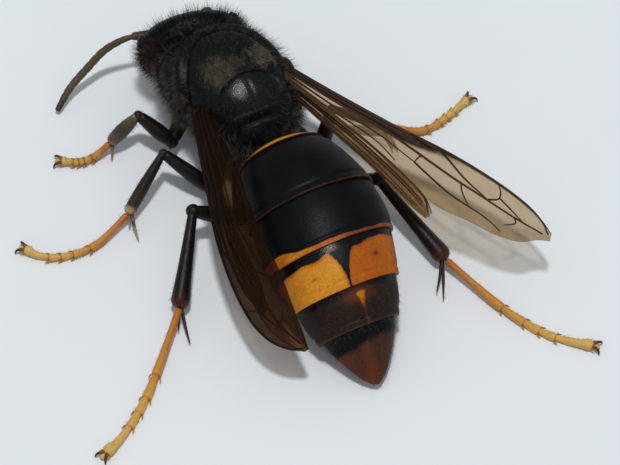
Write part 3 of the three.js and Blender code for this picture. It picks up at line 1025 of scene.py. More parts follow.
FORE_LEG = LengthFinish(
    "fore_leg",
    (
        (0.0, (0.36, 0.22, 0.1)),
        (0.14, (0.11, 0.08, 0.045)),
        (0.5, (0.045, 0.042, 0.033)),
        (0.85, (0.12, 0.085, 0.05)),
        (1.0, (0.4, 0.23, 0.11)),
    ),
)
MID_LEG = LengthFinish(
    "mid_leg",
    (
        (0.0, (0.012, 0.01, 0.009)),
        (0.5, (0.014, 0.015, 0.013)),
        (0.84, (0.035, 0.028, 0.02)),
        (0.97, (0.45, 0.3, 0.17)),
    ),
    shine=0.2,
)
FOOT = LengthFinish(
    "foot",
    (
        (0.0, (0.5, 0.16, 0.02)),
        (0.4, (0.62, 0.26, 0.035)),
        (0.7, (0.7, 0.4, 0.08)),
        (1.0, (0.72, 0.46, 0.12)),
    ),
    glow=0.1,
)
CLAW = LengthFinish(
    "claw",
    ((0.0, (0.25, 0.12, 0.04)), (0.5, (0.05, 0.02, 0.01)), (1.0, (0.015, 0.008, 0.006))),
)
TEGULA = LengthFinish(
    "tegula",
    ((0.0, (0.008, 0.004, 0.003)), (1.0, (0.03, 0.012, 0.008))),
    rough=(0.4, 0.6),
    shine=0.12,
)
DARK_VEIN = LengthFinish(
    "vein_left",
    ((0.0, (0.008, 0.004, 0.003)), (1.0, (0.014, 0.007, 0.004))),
    rough=(0.6, 0.75),
    shine=0.05,
)
AMBER_VEIN = LengthFinish(
    "vein_right",
    ((0.0, (0.02, 0.01, 0.007)), (0.45, (0.05, 0.022, 0.012)), (1.0, (0.07, 0.032, 0.014))),
    rough=(0.5, 0.65),
    shine=0.15,
)
RIGHT_MEMBRANE = MembraneFinish(
    "membrane_right",
    clear=(0.25, 0.155, 0.062),
    dusky=(0.014, 0.007, 0.005),
    opacity=(0.3, 0.98),
    stain=(0.78, 0.64, 0.42),
    stained=(0.55, 0.05),
    shine=0.17,
)
LEFT_MEMBRANE = MembraneFinish(
    "membrane_left",
    clear=(0.03, 0.014, 0.007),
    dusky=(0.012, 0.006, 0.004),
    opacity=(0.92, 0.98),
    stain=(0.82, 0.68, 0.53),
    stained=(0.88, 0.42),
    rough=(0.45, 0.6),
    shine=0.1,
)
DARK_HAIR = HairFinish("hair_dark", (0.002, 0.002, 0.002), (0.012, 0.01, 0.008), 0.12)
GREY_HAIR = HairFinish("hair_grey", (0.01, 0.008, 0.006), (0.16, 0.145, 0.12))
GOLD_HAIR = HairFinish("hair_gold", (0.03, 0.025, 0.016), (0.27, 0.225, 0.15), 0.4)


# The body's sub-assemblies


@dataclass(frozen=True)
class Relief:
    """A ridge of the skin, or a groove where its height is below zero, in millimetres."""

    height: float
    width: float

    def over(self, distance: Array) -> Array:
        """The skin's lift at signed distances from the relief's line."""
        return self.height * dent(distance, self.width)


@dataclass
class Thorax:
    """The thorax: pronotum, mesothorax, scutellum and propodeum as one skin."""

    bench: Workbench
    front: float = -7.0
    rear: float = 1.45
    middle: Keys = ((-7, 0.95), (-5.6, 0.85), (-4.2, 0.7), (-3, 0.5), (-1.6, 0.3), (0.5, 0.05), (1.45, 0))
    half_width: Keys = (
        (-7, 1.8), (-6.5, 2.55), (-5.6, 3.1), (-4.2, 3.32), (-3, 3.3),
        (-1.6, 3.05), (-0.4, 2.6), (0.6, 1.8), (1.2, 0.95), (1.45, 0.5),
    )
    top: Keys = (
        (-7, 5), (-6.5, 5.75), (-5.6, 6.5), (-4.2, 6.95), (-3, 7),
        (-1.6, 6.6), (-0.4, 6.1), (0.6, 5.4), (1.2, 4.8), (1.45, 4.55),
    )
    bottom: Keys = (
        (-7, 2.7), (-6.5, 2), (-5.6, 1.5), (-4.2, 1.25), (-3, 1.2),
        (-1.6, 1.3), (-0.4, 1.6), (0.6, 2.4), (1.2, 3.3), (1.45, 3.75),
    )
    end_cap: float = 0.06
    end_bulge: float = 0.25
    collar: Point = (0.6, -1.9, 4.6)
    collar_size: Point = (2.95, 4.2, 5.2)
    collar_reach: float = 3.2
    collar_groove: Relief = Relief(-0.2, 0.13)
    collar_roll: Relief = Relief(0.14, 0.2)
    collar_crease: Relief = Relief(-0.1, 0.12)
    scutum_midline: Relief = Relief(-0.07, 0.07)
    scutum_furrow: Relief = Relief(-0.06, 0.08)
    scutellum: Point = SCUTELLUM_CENTRE
    scutellum_size: Point = (1.95, 1.05, 1.0)
    scutellum_dome: float = 0.2
    scutellum_rim: Relief = Relief(-0.07, 0.16)
    scutellum_midline: Relief = Relief(-0.04, 0.1)
    rear_roll: Relief = Relief(0.1, 0.2)
    rear_groove: Relief = Relief(-0.16, 0.13)
    rear_furrow: Relief = Relief(-0.14, 0.2)
    flank_front: Relief = Relief(-0.13, 0.12)
    flank_across: Relief = Relief(-0.11, 0.11)
    flank_rear: Relief = Relief(-0.11, 0.12)
    unevenness: float = 0.02
    segments: int = 192
    rings: int = 150

    def _surface(self, ball: Array) -> Array:
        """The plain loft of the thorax.

        Args:
            ball: the vertices of a unit ball.

        Returns:
            Their places on the loft.
        """
        share, around = loft_shares(ball)
        run = np.clip((share - self.end_cap) / (1 - 2 * self.end_cap), 0, 1)
        full = np.minimum(1, np.minimum(share / self.end_cap, (1 - share) / self.end_cap))
        full = np.sin(full * math.pi / 2)
        bulge = self.end_bulge * (1 - full)
        y = self.front + (self.rear - self.front) * run + np.where(share < 0.5, -bulge, bulge * 0.4)
        low, high = track(self.bottom)(y), track(self.top)(y)
        height = (high - low) / 2
        x = track(self.middle)(y) + full * track(self.half_width)(y) * squared(np.cos(around))
        z = low + height + full * height * squared(np.sin(around))
        return np.stack([x, y, z], -1)

    def _collar_distance(self, points: Array) -> Array:
        """How far points lie outside the collar's ellipsoid, as a share of its size."""
        return np.linalg.norm((points - self.collar) / self.collar_size, axis=1) - 1

    def _front_lift(self, points: Array, side: Array, upper: Array) -> Array:
        """The relief of the collar and the scutum.

        Args:
            points: the plain loft.
            side: their distances from the middle line.
            upper: 1 on the back and 0 on the flanks.

        Returns:
            The skin's lift.
        """
        y, z = points[:, 1], points[:, 2]
        collar = self._collar_distance(points)
        outside = collar * self.collar_reach
        lift = self.collar_groove.over(outside) * smooth_step(1.6, 2.6, z)
        lift += self.collar_roll.over(outside - 0.34) * smooth_step(2.0, 3.0, z)
        lift += self.collar_crease.over(outside - 0.85) * smooth_step(3.0, 4.2, z)
        scutum = upper * smooth_step(0.0, -0.25, collar) * smooth_step(-1.75, -2.3, y)
        lift += self.scutum_midline.over(side) * scutum * smooth_step(-2.6, -4.2, y)
        lift += self.scutum_furrow.over(np.abs(side) - 1.15 - 0.12 * (y + 4)) * scutum
        return lift

    def _rear_lift(self, points: Array, side: Array, upper: Array) -> Array:
        """The relief of the scutellum and what lies behind it.

        Args:
            points: the plain loft.
            side: their distances from the middle line.
            upper: 1 on the back and 0 on the flanks.

        Returns:
            The skin's lift.
        """
        x, y, z = points.T
        aside, ahead = x - self.scutellum[0], y - self.scutellum[1]
        flat = np.sqrt((aside / self.scutellum_size[0]) ** 2 + (ahead / self.scutellum_size[1]) ** 2)
        dome = np.sqrt(np.maximum(0.0, 1 - flat**2))
        lift = self.scutellum_dome * dome * upper
        lift += self.scutellum_rim.over(flat - 1.06) * upper * smooth_step(-0.6, -1.6, y)
        lift += self.scutellum_midline.over(aside) * dome * upper
        rear_line = y + 0.042 * side**2
        lift += self.rear_roll.over(rear_line - 0.12) * upper
        lift += self.rear_groove.over(rear_line - 0.42) * smooth_step(2.5, 4.0, z)
        lift += self.rear_furrow.over(side) * smooth_step(0.5, 0.9, y) * smooth_step(3.6, 4.4, z)
        return lift

    def _flank_lift(self, points: Array) -> Array:
        """The grooves between the plates of the flanks, and the skin's unevenness.

        Args:
            points: the plain loft.

        Returns:
            The skin's lift.
        """
        x, y, z = points.T
        flank = smooth_step(5.2, 4.6, z) * smooth_step(1.4, 2.0, z)
        between = smooth_step(-5.6, -5.0, y) * smooth_step(-2.6, -3.0, y)
        lift = self.flank_front.over(y + 2.7 + 0.25 * (z - 3)) * flank
        lift += self.flank_across.over(z - 3.3 - 0.12 * y) * between
        lift += self.flank_rear.over(y + 0.6 + 0.5 * (z - 3)) * flank
        return lift + self.unevenness * np.sin(3.1 * x + 1.7 * y) * np.sin(2.3 * z - 1.1 * y)

    def _shape(self, points: Array) -> Array:
        """Adds the scutellum, the sutures and the plates between them.

        Args:
            points: the plain loft.

        Returns:
            The finished skin.
        """
        x, y, z = points.T
        side = x - track(self.middle)(y)
        upward = z - (track(self.bottom)(y) + track(self.top)(y)) / 2
        outward = np.stack([side, np.zeros(len(points)), upward], -1)
        outward /= np.maximum(np.linalg.norm(outward, axis=1, keepdims=True), TINY)
        upper = smooth_step(3.6, 5.0, z)
        lift = self._front_lift(points, side, upper) + self._rear_lift(points, side, upper)
        lift += self._flank_lift(points)
        return points + outward * lift[:, None]

    def build(self) -> Piece:
        """Makes and dresses the thorax.

        Returns:
            The thorax skin.
        """
        piece = self.bench.ball("thorax_skin", self.segments, self.rings)
        ball = self.bench.points(piece)
        points = self._shape(self._surface(ball))
        self.bench.place(piece, points)
        self.bench.note(piece, "mark", 0.0)
        self.bench.note(piece, "hue", 1.0)
        polished = smooth_step(1.15, 0.8, from_scutellum(points)) * smooth_step(4.5, 5.2, points[:, 2])
        self.bench.note(piece, "gloss", polished)
        self.bench.unwrap(piece, *loft_shares(ball))
        nodes = ("pronotum", "mesothorax", "scutellum", "propodeum")
        return self.bench.hand_over(piece, nodes, "shell", SHELL, SMOOTH)


@dataclass
class Head:
    """The head with its eyes, mandibles and antennae."""

    bench: Workbench
    centre: Point = (1.2, -7.1, 3.6)
    half_size: Point = (3.05, 1.55, 2.45)
    turn: float = -12.0
    nod: float = -6.0
    roll: float = 5.0
    eye_centre: Point = (2.44, -0.52, -0.3)
    eye_size: Point = (0.62, 0.78, 1.6)
    eye_lean: float = 10.0
    eye_notch: float = 0.28
    ocelli: tuple[tuple[float, float], ...] = ((0.0, -0.25), (-0.42, 0.2), (0.42, 0.2))
    ocellus_radius: float = 0.17
    ocellus_sunk: float = 0.12
    clypeus: tuple[float, float] = (0.0, -1.15)
    clypeus_size: tuple[float, float] = (1.3, 1.15)
    clypeus_lift: float = 0.32
    clypeus_rim: Relief = Relief(-0.12, 0.1)
    socket: tuple[float, float] = (0.72, 0.15)
    socket_rim: Relief = Relief(0.16, 0.12)
    socket_pit: Relief = Relief(-0.14, 0.2)
    forehead_line: Relief = Relief(-0.08, 0.06)
    ocellus_rim: Relief = Relief(0.03, 0.09)
    nape_rim: Relief = Relief(0.05, 0.16)
    mandible: tuple[Point, ...] = ((1.55, -0.95, -2.1), (1.3, -1.25, -2.75), (0.3, -1.35, -3.0))
    mandible_radii: tuple[float, ...] = (0.5, 0.45, 0.2)
    tooth_shares: tuple[float, ...] = (0.72, 0.84)
    tooth_reach: Point = (0, 0.05, -0.3)
    tooth_radii: tuple[float, ...] = (0.17, 0.13, 0.05)
    scapes: dict[Side, tuple[Point, ...]] = field(default_factory=lambda: {
        Side.LEFT: ((1.85, -8.62, 3.6), (2.8, -9, 3.5), (4.1, -9.3, 3.48)),
        Side.RIGHT: ((0.45, -8.62, 3.6), (-0.2, -9.2, 3.2), (-0.95, -9.7, 2.72)),
    })
    flagella: dict[Side, tuple[Point, ...]] = field(default_factory=lambda: {
        Side.LEFT: (
            (3.8, -9.24, 3.49), (4.55, -9.4, 3.35), (5.7, -9.62, 2.65),
            (6.82, -9.5, 1.78), (8.2, -9.1, 0.95), (9.35, -8.34, 0.36),
        ),
        Side.RIGHT: (
            (-0.8, -9.62, 2.8), (-1.1, -9.95, 2.3), (-0.95, -10.2, 1.6), (-0.3, -10.4, 1),
            (0.7, -10.45, 0.62), (1.8, -10.2, 0.42), (2.8, -9.65, 0.36),
        ),
    })
    scape_radii: tuple[float, ...] = (0.15, 0.2125, 0.25)
    radicle_radius: float = 0.3
    flagellum_radius: float = 0.235
    flagellum_shape: tuple[float, ...] = (0.62, 0.85, 0.96, 1.0, 1.0, 0.98, 0.9, 0.7)
    flagellomeres: int = 11
    pedicel_share: float = 0.055

    def turned(self, points: Array) -> Array:
        """Turns points of the upright head into the body's place.

        Args:
            points: points about the head's centre.

        Returns:
            The points in the body's own millimetres.
        """
        a = math.radians(-self.nod)
        b = math.radians(self.turn)
        c = math.radians(self.roll)
        roll = np.array([[math.cos(c), 0, math.sin(c)], [0, 1, 0], [-math.sin(c), 0, math.cos(c)]])
        nod = np.array([[1, 0, 0], [0, math.cos(a), -math.sin(a)], [0, math.sin(a), math.cos(a)]])
        turn = np.array([[math.cos(b), -math.sin(b), 0], [math.sin(b), math.cos(b), 0], [0, 0, 1]])
        return np.asarray(points, float) @ roll.T @ nod.T @ turn.T + np.array(self.centre)

    def _face_lift(self, x: Array, y: Array, z: Array) -> Array:
        """How far the face stands out: clypeus, feeler sockets and the line of the forehead.

        Args:
            x: millimetres to the left of the head's centre.
            y: millimetres behind it.
            z: millimetres above it.

        Returns:
            Millimetres forwards.
        """
        front = smooth_step(-0.2, -0.9, y)
        across = (x - self.clypeus[0]) / self.clypeus_size[0]
        shield = np.sqrt(across**2 + ((z - self.clypeus[1]) / self.clypeus_size[1]) ** 2)
        lift = self.clypeus_lift * np.sqrt(np.maximum(0, 1 - shield**2))
        lift += self.clypeus_rim.over(shield - 1.03)
        for side in Side:
            socket = np.hypot(x - side.value * self.socket[0], z - self.socket[1])
            lift += self.socket_rim.over(socket - 0.34) + self.socket_pit.over(socket)
        lift += self.forehead_line.over(x) * smooth_step(0.3, 0.9, z) * smooth_step(2.2, 1.4, z)
        return lift * front

    def _skull(self, ball: Array) -> Array:
        """The skull about the head's centre, with its face.

        Args:
            ball: the vertices of a unit ball.

        Returns:
            Their places on the skull.
        """
        x, y, z = ball.T
        full = 1 + 0.52 * (x * y) ** 2 + 0.4 * (x * z) ** 2
        narrow = 1 - 0.34 * np.maximum(0, -z) ** 1.5 - 0.06 * np.maximum(0, z) ** 2
        hollow = np.where(y > 0, 1 - 0.25 * (1 - x * x), 1.0)
        points = np.stack([x * narrow * full, y * hollow * full, z], -1) * self.half_size
        points[:, 1] -= self._face_lift(*points.T)
        for aside, behind in self.ocelli:
            spot = np.hypot(points[:, 0] - aside, points[:, 1] - behind)
            points[:, 2] += self.ocellus_rim.over(spot - 0.24) * smooth_step(1.6, 2.0, points[:, 2])
        points[:, 2] += self.nape_rim.over(points[:, 1] - 0.72) * smooth_step(0.5, 1.2, points[:, 2])
        return points

    def build(self) -> Piece:
        """Makes the head with all it carries.

        Returns:
            The head's skin.
        """
        skull = self.bench.ball("head_skin", 144, 96)
        ball = self.bench.points(skull)
        points = self._skull(ball)
        self.bench.place(skull, self.turned(points))
        x, y, z = points.T
        face = smooth_step(-0.55, -0.8, y) * smooth_step(1.15, 0.85, z) * smooth_step(2.5, 2.2, np.abs(x))
        temple = smooth_step(1.3, 2.7, np.abs(x)) * smooth_step(-1.1, -0.1, y) * smooth_step(2.5, 1.3, z)
        self.bench.note(skull, "mark", np.maximum(face, 0.72 * temple))
        self.bench.note(skull, "hue", 0.12 + 0.3 * smooth_step(0.2, 1.1, z) + 0.68 * temple)
        self.bench.unwrap(skull, *loft_shares(ball))
        self.bench.hand_over(skull, ("head",), "shell", SHELL, SMOOTH)
        self._eyes()
        self._ocelli()
        self._mandibles()
        self._antennae()
        return skull

    def _eyes(self) -> None:
        """Makes the two compound eyes, each notched on its inner edge."""
        for side in Side:
            node = f"eye_{side.label}"
            piece = self.bench.ball(f"{node}_lens", 48, 32)
            x, y, z = (self.bench.points(piece) * np.array(self.eye_size)).T
            notch = self.eye_notch * dent(z - 0.35, 0.5) * smooth_step(0.3, -0.6, side.value * x)
            x = x + side.value * notch
            lean = side.value * math.radians(self.eye_lean)
            along = x * math.cos(lean) + z * math.sin(lean)
            upward = -x * math.sin(lean) + z * math.cos(lean)
            centre = np.array([side.value * self.eye_centre[0], *self.eye_centre[1:]])
            self.bench.place(piece, self.turned(np.stack([along, y, upward], -1) + centre))
            self.bench.hand_over(piece, (node,), "eye", EYE_FINISH, SMOOTH)

    def _ocelli(self) -> None:
        """Makes the three simple eyes on the vertex."""
        lenses = []
        for aside, behind in self.ocelli:
            lens = self.bench.ball("ocellus", 20, 12)
            centre = np.array([aside, behind, self.half_size[2] - self.ocellus_sunk])
            self.bench.place(lens, self.turned(self.bench.points(lens) * self.ocellus_radius + centre))
            lenses.append(lens)
        self.bench.assemble("ocelli", lenses, (), "eye", EYE_FINISH, SMOOTH)

    def _mandibles(self) -> None:
        """Makes the two mandibles, each with teeth on its inner edge."""
        down = self.turned([self.tooth_reach])[0] - self.turned([(0, 0, 0)])[0]
        for side in Side:
            way = self.turned([(side.value * x, y, z) for x, y, z in self.mandible])
            pieces = [self.bench.tube("blade", way, self.mandible_radii, 24, 20, 0.7)]
            path = Way(way)
            for share in self.tooth_shares:
                start = path.at(np.array(share))
                tooth = (start, start + down * 0.6, start + down * 1.3)
                pieces.append(self.bench.tube("tooth", tooth, self.tooth_radii, 10, 6, alongs=(0.9, 1.0)))
            name = f"mandible_{side.label}"
            self.bench.assemble(f"{name}_blade", pieces, (name,), "brown", MANDIBLE_FINISH)

    def _antennae(self) -> None:
        """Makes the scape, pedicel and ringed flagellum of each antenna."""
        radii = [self.flagellum_radius * share for share in self.flagellum_shape]
        joints = np.linspace(self.pedicel_share, 1.0, self.flagellomeres + 1)[1:-1]
        grooves = (self.pedicel_share, *joints)
        for side in Side:
            way = self.scapes[side]
            scape = self.bench.tube("scape", way, self.scape_radii, 20, 20, alongs=(0.0, 0.35))
            radicle = self.bench.bulb("radicle", way[0], (self.radicle_radius,) * 3, 16, 10)
            self.bench.note(radicle, "along", 0.0)
            name = f"scape_{side.label}"
            self.bench.assemble(f"{name}_limb", [radicle, scape], (name,), "feeler", FEELER)
            name = f"flagellum_{side.label}"
            way = self.flagella[side]
            rings = self.bench.tube(f"{name}_rings", way, radii, 20, 150, 1.0, (0.35, 1.0), grooves)
            self.bench.hand_over(rings, (name,), "feeler", FEELER, SMOOTH)


@dataclass(frozen=True)
class Plate:
    """What the markings of one gaster segment read, for each of its vertices."""

    side: Array
    front: Array
    rear: Array
    wave: Array
    left: Array
    below: Array


Marking = tuple[Array, Array]


@dataclass
class Gaster:
    """The gaster: six overlapping segments with their markings."""

    bench: Workbench
    middle: Keys = ((1.75, 0), (5, -0.2), (8, -0.15), (10.5, 0.05), (13, 0.25), (14.4, 0.32), (16.6, 0.5))
    half_width: Keys = (
        (1.75, 0.45), (1.95, 0.75), (2.15, 1.7), (2.6, 2.6), (3.6, 3.1), (5, 3.5), (6.3, 3.8), (7.6, 3.9),
        (9.3, 3.75), (10.6, 3.45), (11.9, 3.1), (13, 2.72), (14, 2.18), (15.2, 1.4), (16, 0.78),
        (16.45, 0.28),
    )
    top: Keys = (
        (1.75, 4.6), (1.95, 5), (2.15, 5.9), (2.6, 6.6), (3.6, 7.05), (5, 7.2), (6.3, 7.1), (7.6, 6.8),
        (9.3, 6.2), (10.6, 5.6), (11.7, 4.9), (13, 3.9), (14, 3.05), (15.2, 2), (16, 1.25), (16.45, 0.85),
    )
    bottom: Keys = (
        (1.75, 3.85), (1.95, 3.5), (2.15, 2.9), (2.6, 2.3), (3.6, 1.7), (5, 1.1), (6.3, 0.8), (7.6, 0.6),
        (9.3, 0.5), (11.9, 0.4), (14, 0.4), (15.2, 0.4), (16.45, 0.45),
    )
    lean: Keys = ((1.75, 0), (2.6, 0.2), (6.3, 0.28), (9.3, 0.35), (11.9, 0.4), (14, 0.42), (16.45, 0.3))
    rims: tuple[float, ...] = (1.75, 2.54, 6.23, 9.25, 11.65, 13.65, 16.45)
    slots: tuple[str, ...] = ("banded", "shell", "banded", "banded", "shell", "brown")
    glossy: tuple[int, ...] = (3, 4, 5)
    step: float = 0.16
    lip: float = 0.06
    tuck: float = 0.45
    cap: float = 0.07
    wall: float = 0.12
    side_crease: Relief = Relief(0.1, 0.12)
    rim_groove: Relief = Relief(0.05, 0.1)
    last_ridge: Relief = Relief(0.16, 0.5)
    edge: float = 0.09
    segments: int = 160
    rings: int = 64

    def _first(self, plate: Plate) -> Marking:
        """A thin yellow band along the rear."""
        mark = smooth_step(self.edge, -self.edge, plate.rear - 0.27 - plate.wave * 0.3)
        return mark, 0.02 + 0.25 * smooth_step(0.1, 0.0, plate.rear)

    def _second(self, plate: Plate) -> Marking:
        """A faint brown rim."""
        mark = 0.6 * smooth_step(0.12, -0.08, plate.rear - 0.13 - 0.15 * plate.below - 0.5 * plate.wave)
        return mark, 0.84 - 0.2 * plate.below

    def _third(self, plate: Plate) -> Marking:
        """An orange band along the rear, wider to the left, with painted light making it yellower on the left
        and painted shade making it darker on the right.

        Args:
            plate: the segment's vertices.

        Returns:
            The mark and the hue.
        """
        width = 0.2 + 0.1 * plate.left + 0.35 * smooth_step(2.0, 3.5, plate.side) + 0.25 * plate.below
        mark = smooth_step(self.edge, -self.edge, plate.rear - width - 0.5 * plate.wave)
        # Painted light and shade: the hue runs from yellow on the lit left side to darker orange on the
        # shaded right.
        return mark, 0.5 - 0.34 * plate.left + 0.2 * smooth_step(0.1, 0.0, plate.rear)

    def _fourth(self, plate: Plate) -> Marking:
        """Two broad patches, parted by a black spike, each with a small dark spot, the right patch redder and
        darker as painted shade.

        Args:
            plate: the segment's vertices.

        Returns:
            The mark and the hue.
        """
        side, front, wave = plate.side, plate.front, plate.wave
        off = side - 0.12
        bumps = 0.16 * dent(off - 1.5, 0.7) + 0.28 * smooth_step(2.2, 3.3, off) + 0.1 * dent(off + 1.2, 0.5)
        run = np.clip(front / (self.rims[4] - self.rims[3]), 0, 1)
        spike = 0.95 * (1 - run) ** 2.1 + 0.05
        ahead = (front - 0.34 - bumps - wave) / 0.3
        beside = (np.abs(off) - spike - 0.5 * wave) / 0.22
        inside = -np.log(np.exp(-3 * ahead) + np.exp(-3 * beside)) / 3
        left_spot = dent(np.hypot(side - 1.9, (front - 1.35) * 1.8), 0.22)
        right_spot = dent(np.hypot(side + 1.85, (front - 1.2) * 1.8), 0.2)
        mark = smooth_step(-0.35, 0.45, inside) * (1 - 0.3 * plate.below)
        # Painted shade: the hue turns redder and darker towards the right patch, copying the shade on that
        # side.
        hue = 0.04 + 0.26 * smooth_step(0.5, -0.3, side) + 0.16 * smooth_step(0.9, 0.1, inside)
        return mark, hue + 0.25 * (left_spot + right_spot)

    def _fifth(self, plate: Plate) -> Marking:
        """Dark brown with a small orange wedge in a brown haze.

        Args:
            plate: the segment's vertices.

        Returns:
            The mark and the hue.
        """
        side, front = plate.side, plate.front
        wedge = 0.3 * np.clip(1.25 - front, 0, 1) * smooth_step(0.25, 0.4, front)
        spot = smooth_step(0.1, -0.1, np.abs(side + 0.3) - wedge) * smooth_step(0.2, 0.4, front)
        haze = dent(np.hypot((side + 0.15) * 0.4, front - 0.35 - 0.1 * plate.wave), 0.42)
        fringe = smooth_step(0.12, 0.0, plate.rear - 0.04)
        plain = 0.3 + 0.25 * smooth_step(0.1, 0.5, front) + 0.1 * plate.below
        mark = np.clip(plain + 0.4 * spot + 0.32 * haze + 0.22 * fringe, 0, 1)
        return mark, np.clip(1.0 - 0.6 * spot - 0.3 * haze - 0.2 * fringe, 0.18, 1)

    def _sixth(self, plate: Plate) -> Marking:
        """Reddish brown behind a black front.

        Args:
            plate: the segment's vertices.

        Returns:
            The mark and the hue.
        """
        side, front = plate.side, plate.front
        start = 0.15 + 0.4 * plate.left
        lighter = 0.16 * dent(side - 0.2, 0.2) + 0.1 * smooth_step(0.8, 1.6, side)
        mark = 0.85 * smooth_step(start, start + 0.8, front)
        return mark, 0.8 + 0.15 * smooth_step(1.6, 0.2, front) - lighter

    def _markings(self, index: int, side: Array, upward: Array, y: Array) -> Marking:
        """Where one segment is coloured, and in which hue.

        Args:
            index: the segment, from 0 in front.
            side: millimetres from the middle line, positive to the left.
            upward: the share of the height, from -1 below to 1 above.
            y: the place along the body before the lean.

        Returns:
            The mark from 0 to 1 and the hue from yellow at 0 to dark brown at 1.
        """
        plate = Plate(
            side=side,
            front=y - self.rims[index],
            rear=self.rims[index + 1] - y,
            wave=0.05 * np.sin(2.1 * side + index) + 0.025 * np.sin(5.3 * side + 2 * index),
            left=smooth_step(-1.5, 2.0, side),
            below=smooth_step(0.0, -0.35, upward),
        )
        painters = (self._first, self._second, self._third, self._fourth, self._fifth, self._sixth)
        return painters[index](plate)

    def _segment(self, index: int) -> Piece:
        """Makes and dresses one segment.

        Args:
            index: the segment, from 0 in front.

        Returns:
            The segment's skin.
        """
        first, last = index == 0, index == 5
        piece = self.bench.ball(f"gaster_{index + 1}_skin", self.segments, self.rings)
        share, around = loft_shares(self.bench.points(piece))
        run = np.clip((share - self.cap) / (1 - 2 * self.cap), 0, 1)
        start = self.rims[index] - (0 if first else self.tuck)
        end = self.rims[index + 1]
        y = start + (end - start) * run
        closing = np.clip((1 - share) / self.cap, 0, 1)
        full = np.minimum(1, share / self.cap) * (np.sqrt(closing) if last else closing)
        inset = (0 if first else self.step) * (1 - run) ** 2
        inset += self.side_crease.over((np.sin(around) + 0.42) * 2.4) * smooth_step(0.1, 0.3, run)
        if not last:
            inset += self.rim_groove.over(end - y - 0.42) - self.lip * run**3
        ridge = self.last_ridge.over(np.cos(around) * 3.0) * smooth_step(0, 1, np.sin(around)) * last
        half_height = (track(self.top)(y) - track(self.bottom)(y)) / 2
        across = np.cos(around) * (track(self.half_width)(y) - inset) * full
        upward = np.sin(around) * (half_height - inset + ridge) * full
        tucked = np.where(share > 0.5, (1 - full) * self.wall * (1.2 if last else -2.5), 0)
        x = track(self.middle)(y) + across
        depth = y + track(self.lean)(y) * upward + tucked
        z = track(self.bottom)(y) + half_height + upward
        self.bench.place(piece, np.stack([x, depth, z], -1))
        mark, hue = self._markings(index, across, np.sin(around), y)
        self.bench.note(piece, "mark", mark)
        self.bench.note(piece, "hue", hue)
        self.bench.note(piece, "gloss", smooth_step(0.5, 0.25, y - self.rims[index]) * (index in self.glossy))
        self.bench.unwrap(piece, share, around)
        return self.bench.hand_over(piece, (f"gaster_{index + 1}",), self.slots[index], GASTER_SHELL, 50)

    def build(self) -> list[Piece]:
        """Makes the six segments, from the front."""
        return [self._segment(index) for index in range(6)]


@dataclass(frozen=True)
class WingPlan:
    """One wing: its two edges, its fold and its veins, each vein a width and a way over (span, chord)."""

    name: str
    lead: tuple[Point, ...]
    trail: tuple[Point, ...]
    fold: float
    veins: Veins
    finish: MembraneFinish
    stigma: Range | None = None
    dusk: float = 0.0
    pleat: float = 0.08


FOREWING_VEINS: Veins = (
    (1.9, ((0.01, 0.05), (0.15, 0.05), (0.3, 0.04), (0.45, 0.03))),
    (1.2, ((0.4, 0.02), (0.6, 0.01), (0.8, 0.01), (0.93, 0.02), (0.99, 0.4))),
    (1.3, ((0.01, 0.2), (0.15, 0.2), (0.3, 0.17), (0.42, 0.12), (0.48, 0.07))),
    (1.15, (
        (0.02, 0.42), (0.2, 0.4), (0.36, 0.33), (0.52, 0.37),
        (0.66, 0.42), (0.76, 0.46), (0.9, 0.5), (0.97, 0.62),
    )),
    (0.8, ((0.02, 0.62), (0.2, 0.6), (0.38, 0.56), (0.505, 0.57))),
    (0.8, ((0.02, 0.84), (0.2, 0.83), (0.36, 0.8), (0.45, 0.86))),
    (0.85, ((0.515, 0.37), (0.51, 0.46), (0.505, 0.57))),
    (0.85, ((0.505, 0.57), (0.6, 0.64), (0.7, 0.72), (0.79, 0.78), (0.84, 0.9))),
    (0.9, ((0.55, 0.05), (0.6, 0.15), (0.67, 0.29), (0.76, 0.45))),
    (0.8, ((0.76, 0.45), (0.79, 0.26), (0.77, 0.03))),
    (0.7, ((0.79, 0.26), (0.84, 0.34), (0.9, 0.5))),
    (0.7, ((0.665, 0.42), (0.68, 0.55), (0.72, 0.72))),
    (0.7, ((0.86, 0.49), (0.87, 0.6), (0.84, 0.72))),
)
FOLDED_VEINS: Veins = (
    (1.2, ((0.02, 0.06), (0.3, 0.05), (0.6, 0.05), (0.9, 0.1), (0.985, 0.45))),
    (0.9, ((0.03, 0.28), (0.3, 0.27), (0.6, 0.3), (0.92, 0.36))),
    (1.0, ((0.03, 0.5), (0.3, 0.5), (0.6, 0.52), (0.94, 0.55))),
    (0.8, ((0.03, 0.7), (0.3, 0.73), (0.6, 0.72), (0.92, 0.75))),
    (1.2, ((0.03, 0.93), (0.3, 0.93), (0.6, 0.93), (0.9, 0.88))),
)
HINDWING_VEINS: Veins = (
    (1.1, ((0.02, 0.06), (0.3, 0.05), (0.6, 0.06), (0.85, 0.12), (0.97, 0.4))),
    (0.9, ((0.04, 0.4), (0.3, 0.36), (0.6, 0.42), (0.85, 0.6))),
    (0.8, ((0.05, 0.75), (0.35, 0.72), (0.6, 0.8), (0.8, 0.9))),
)


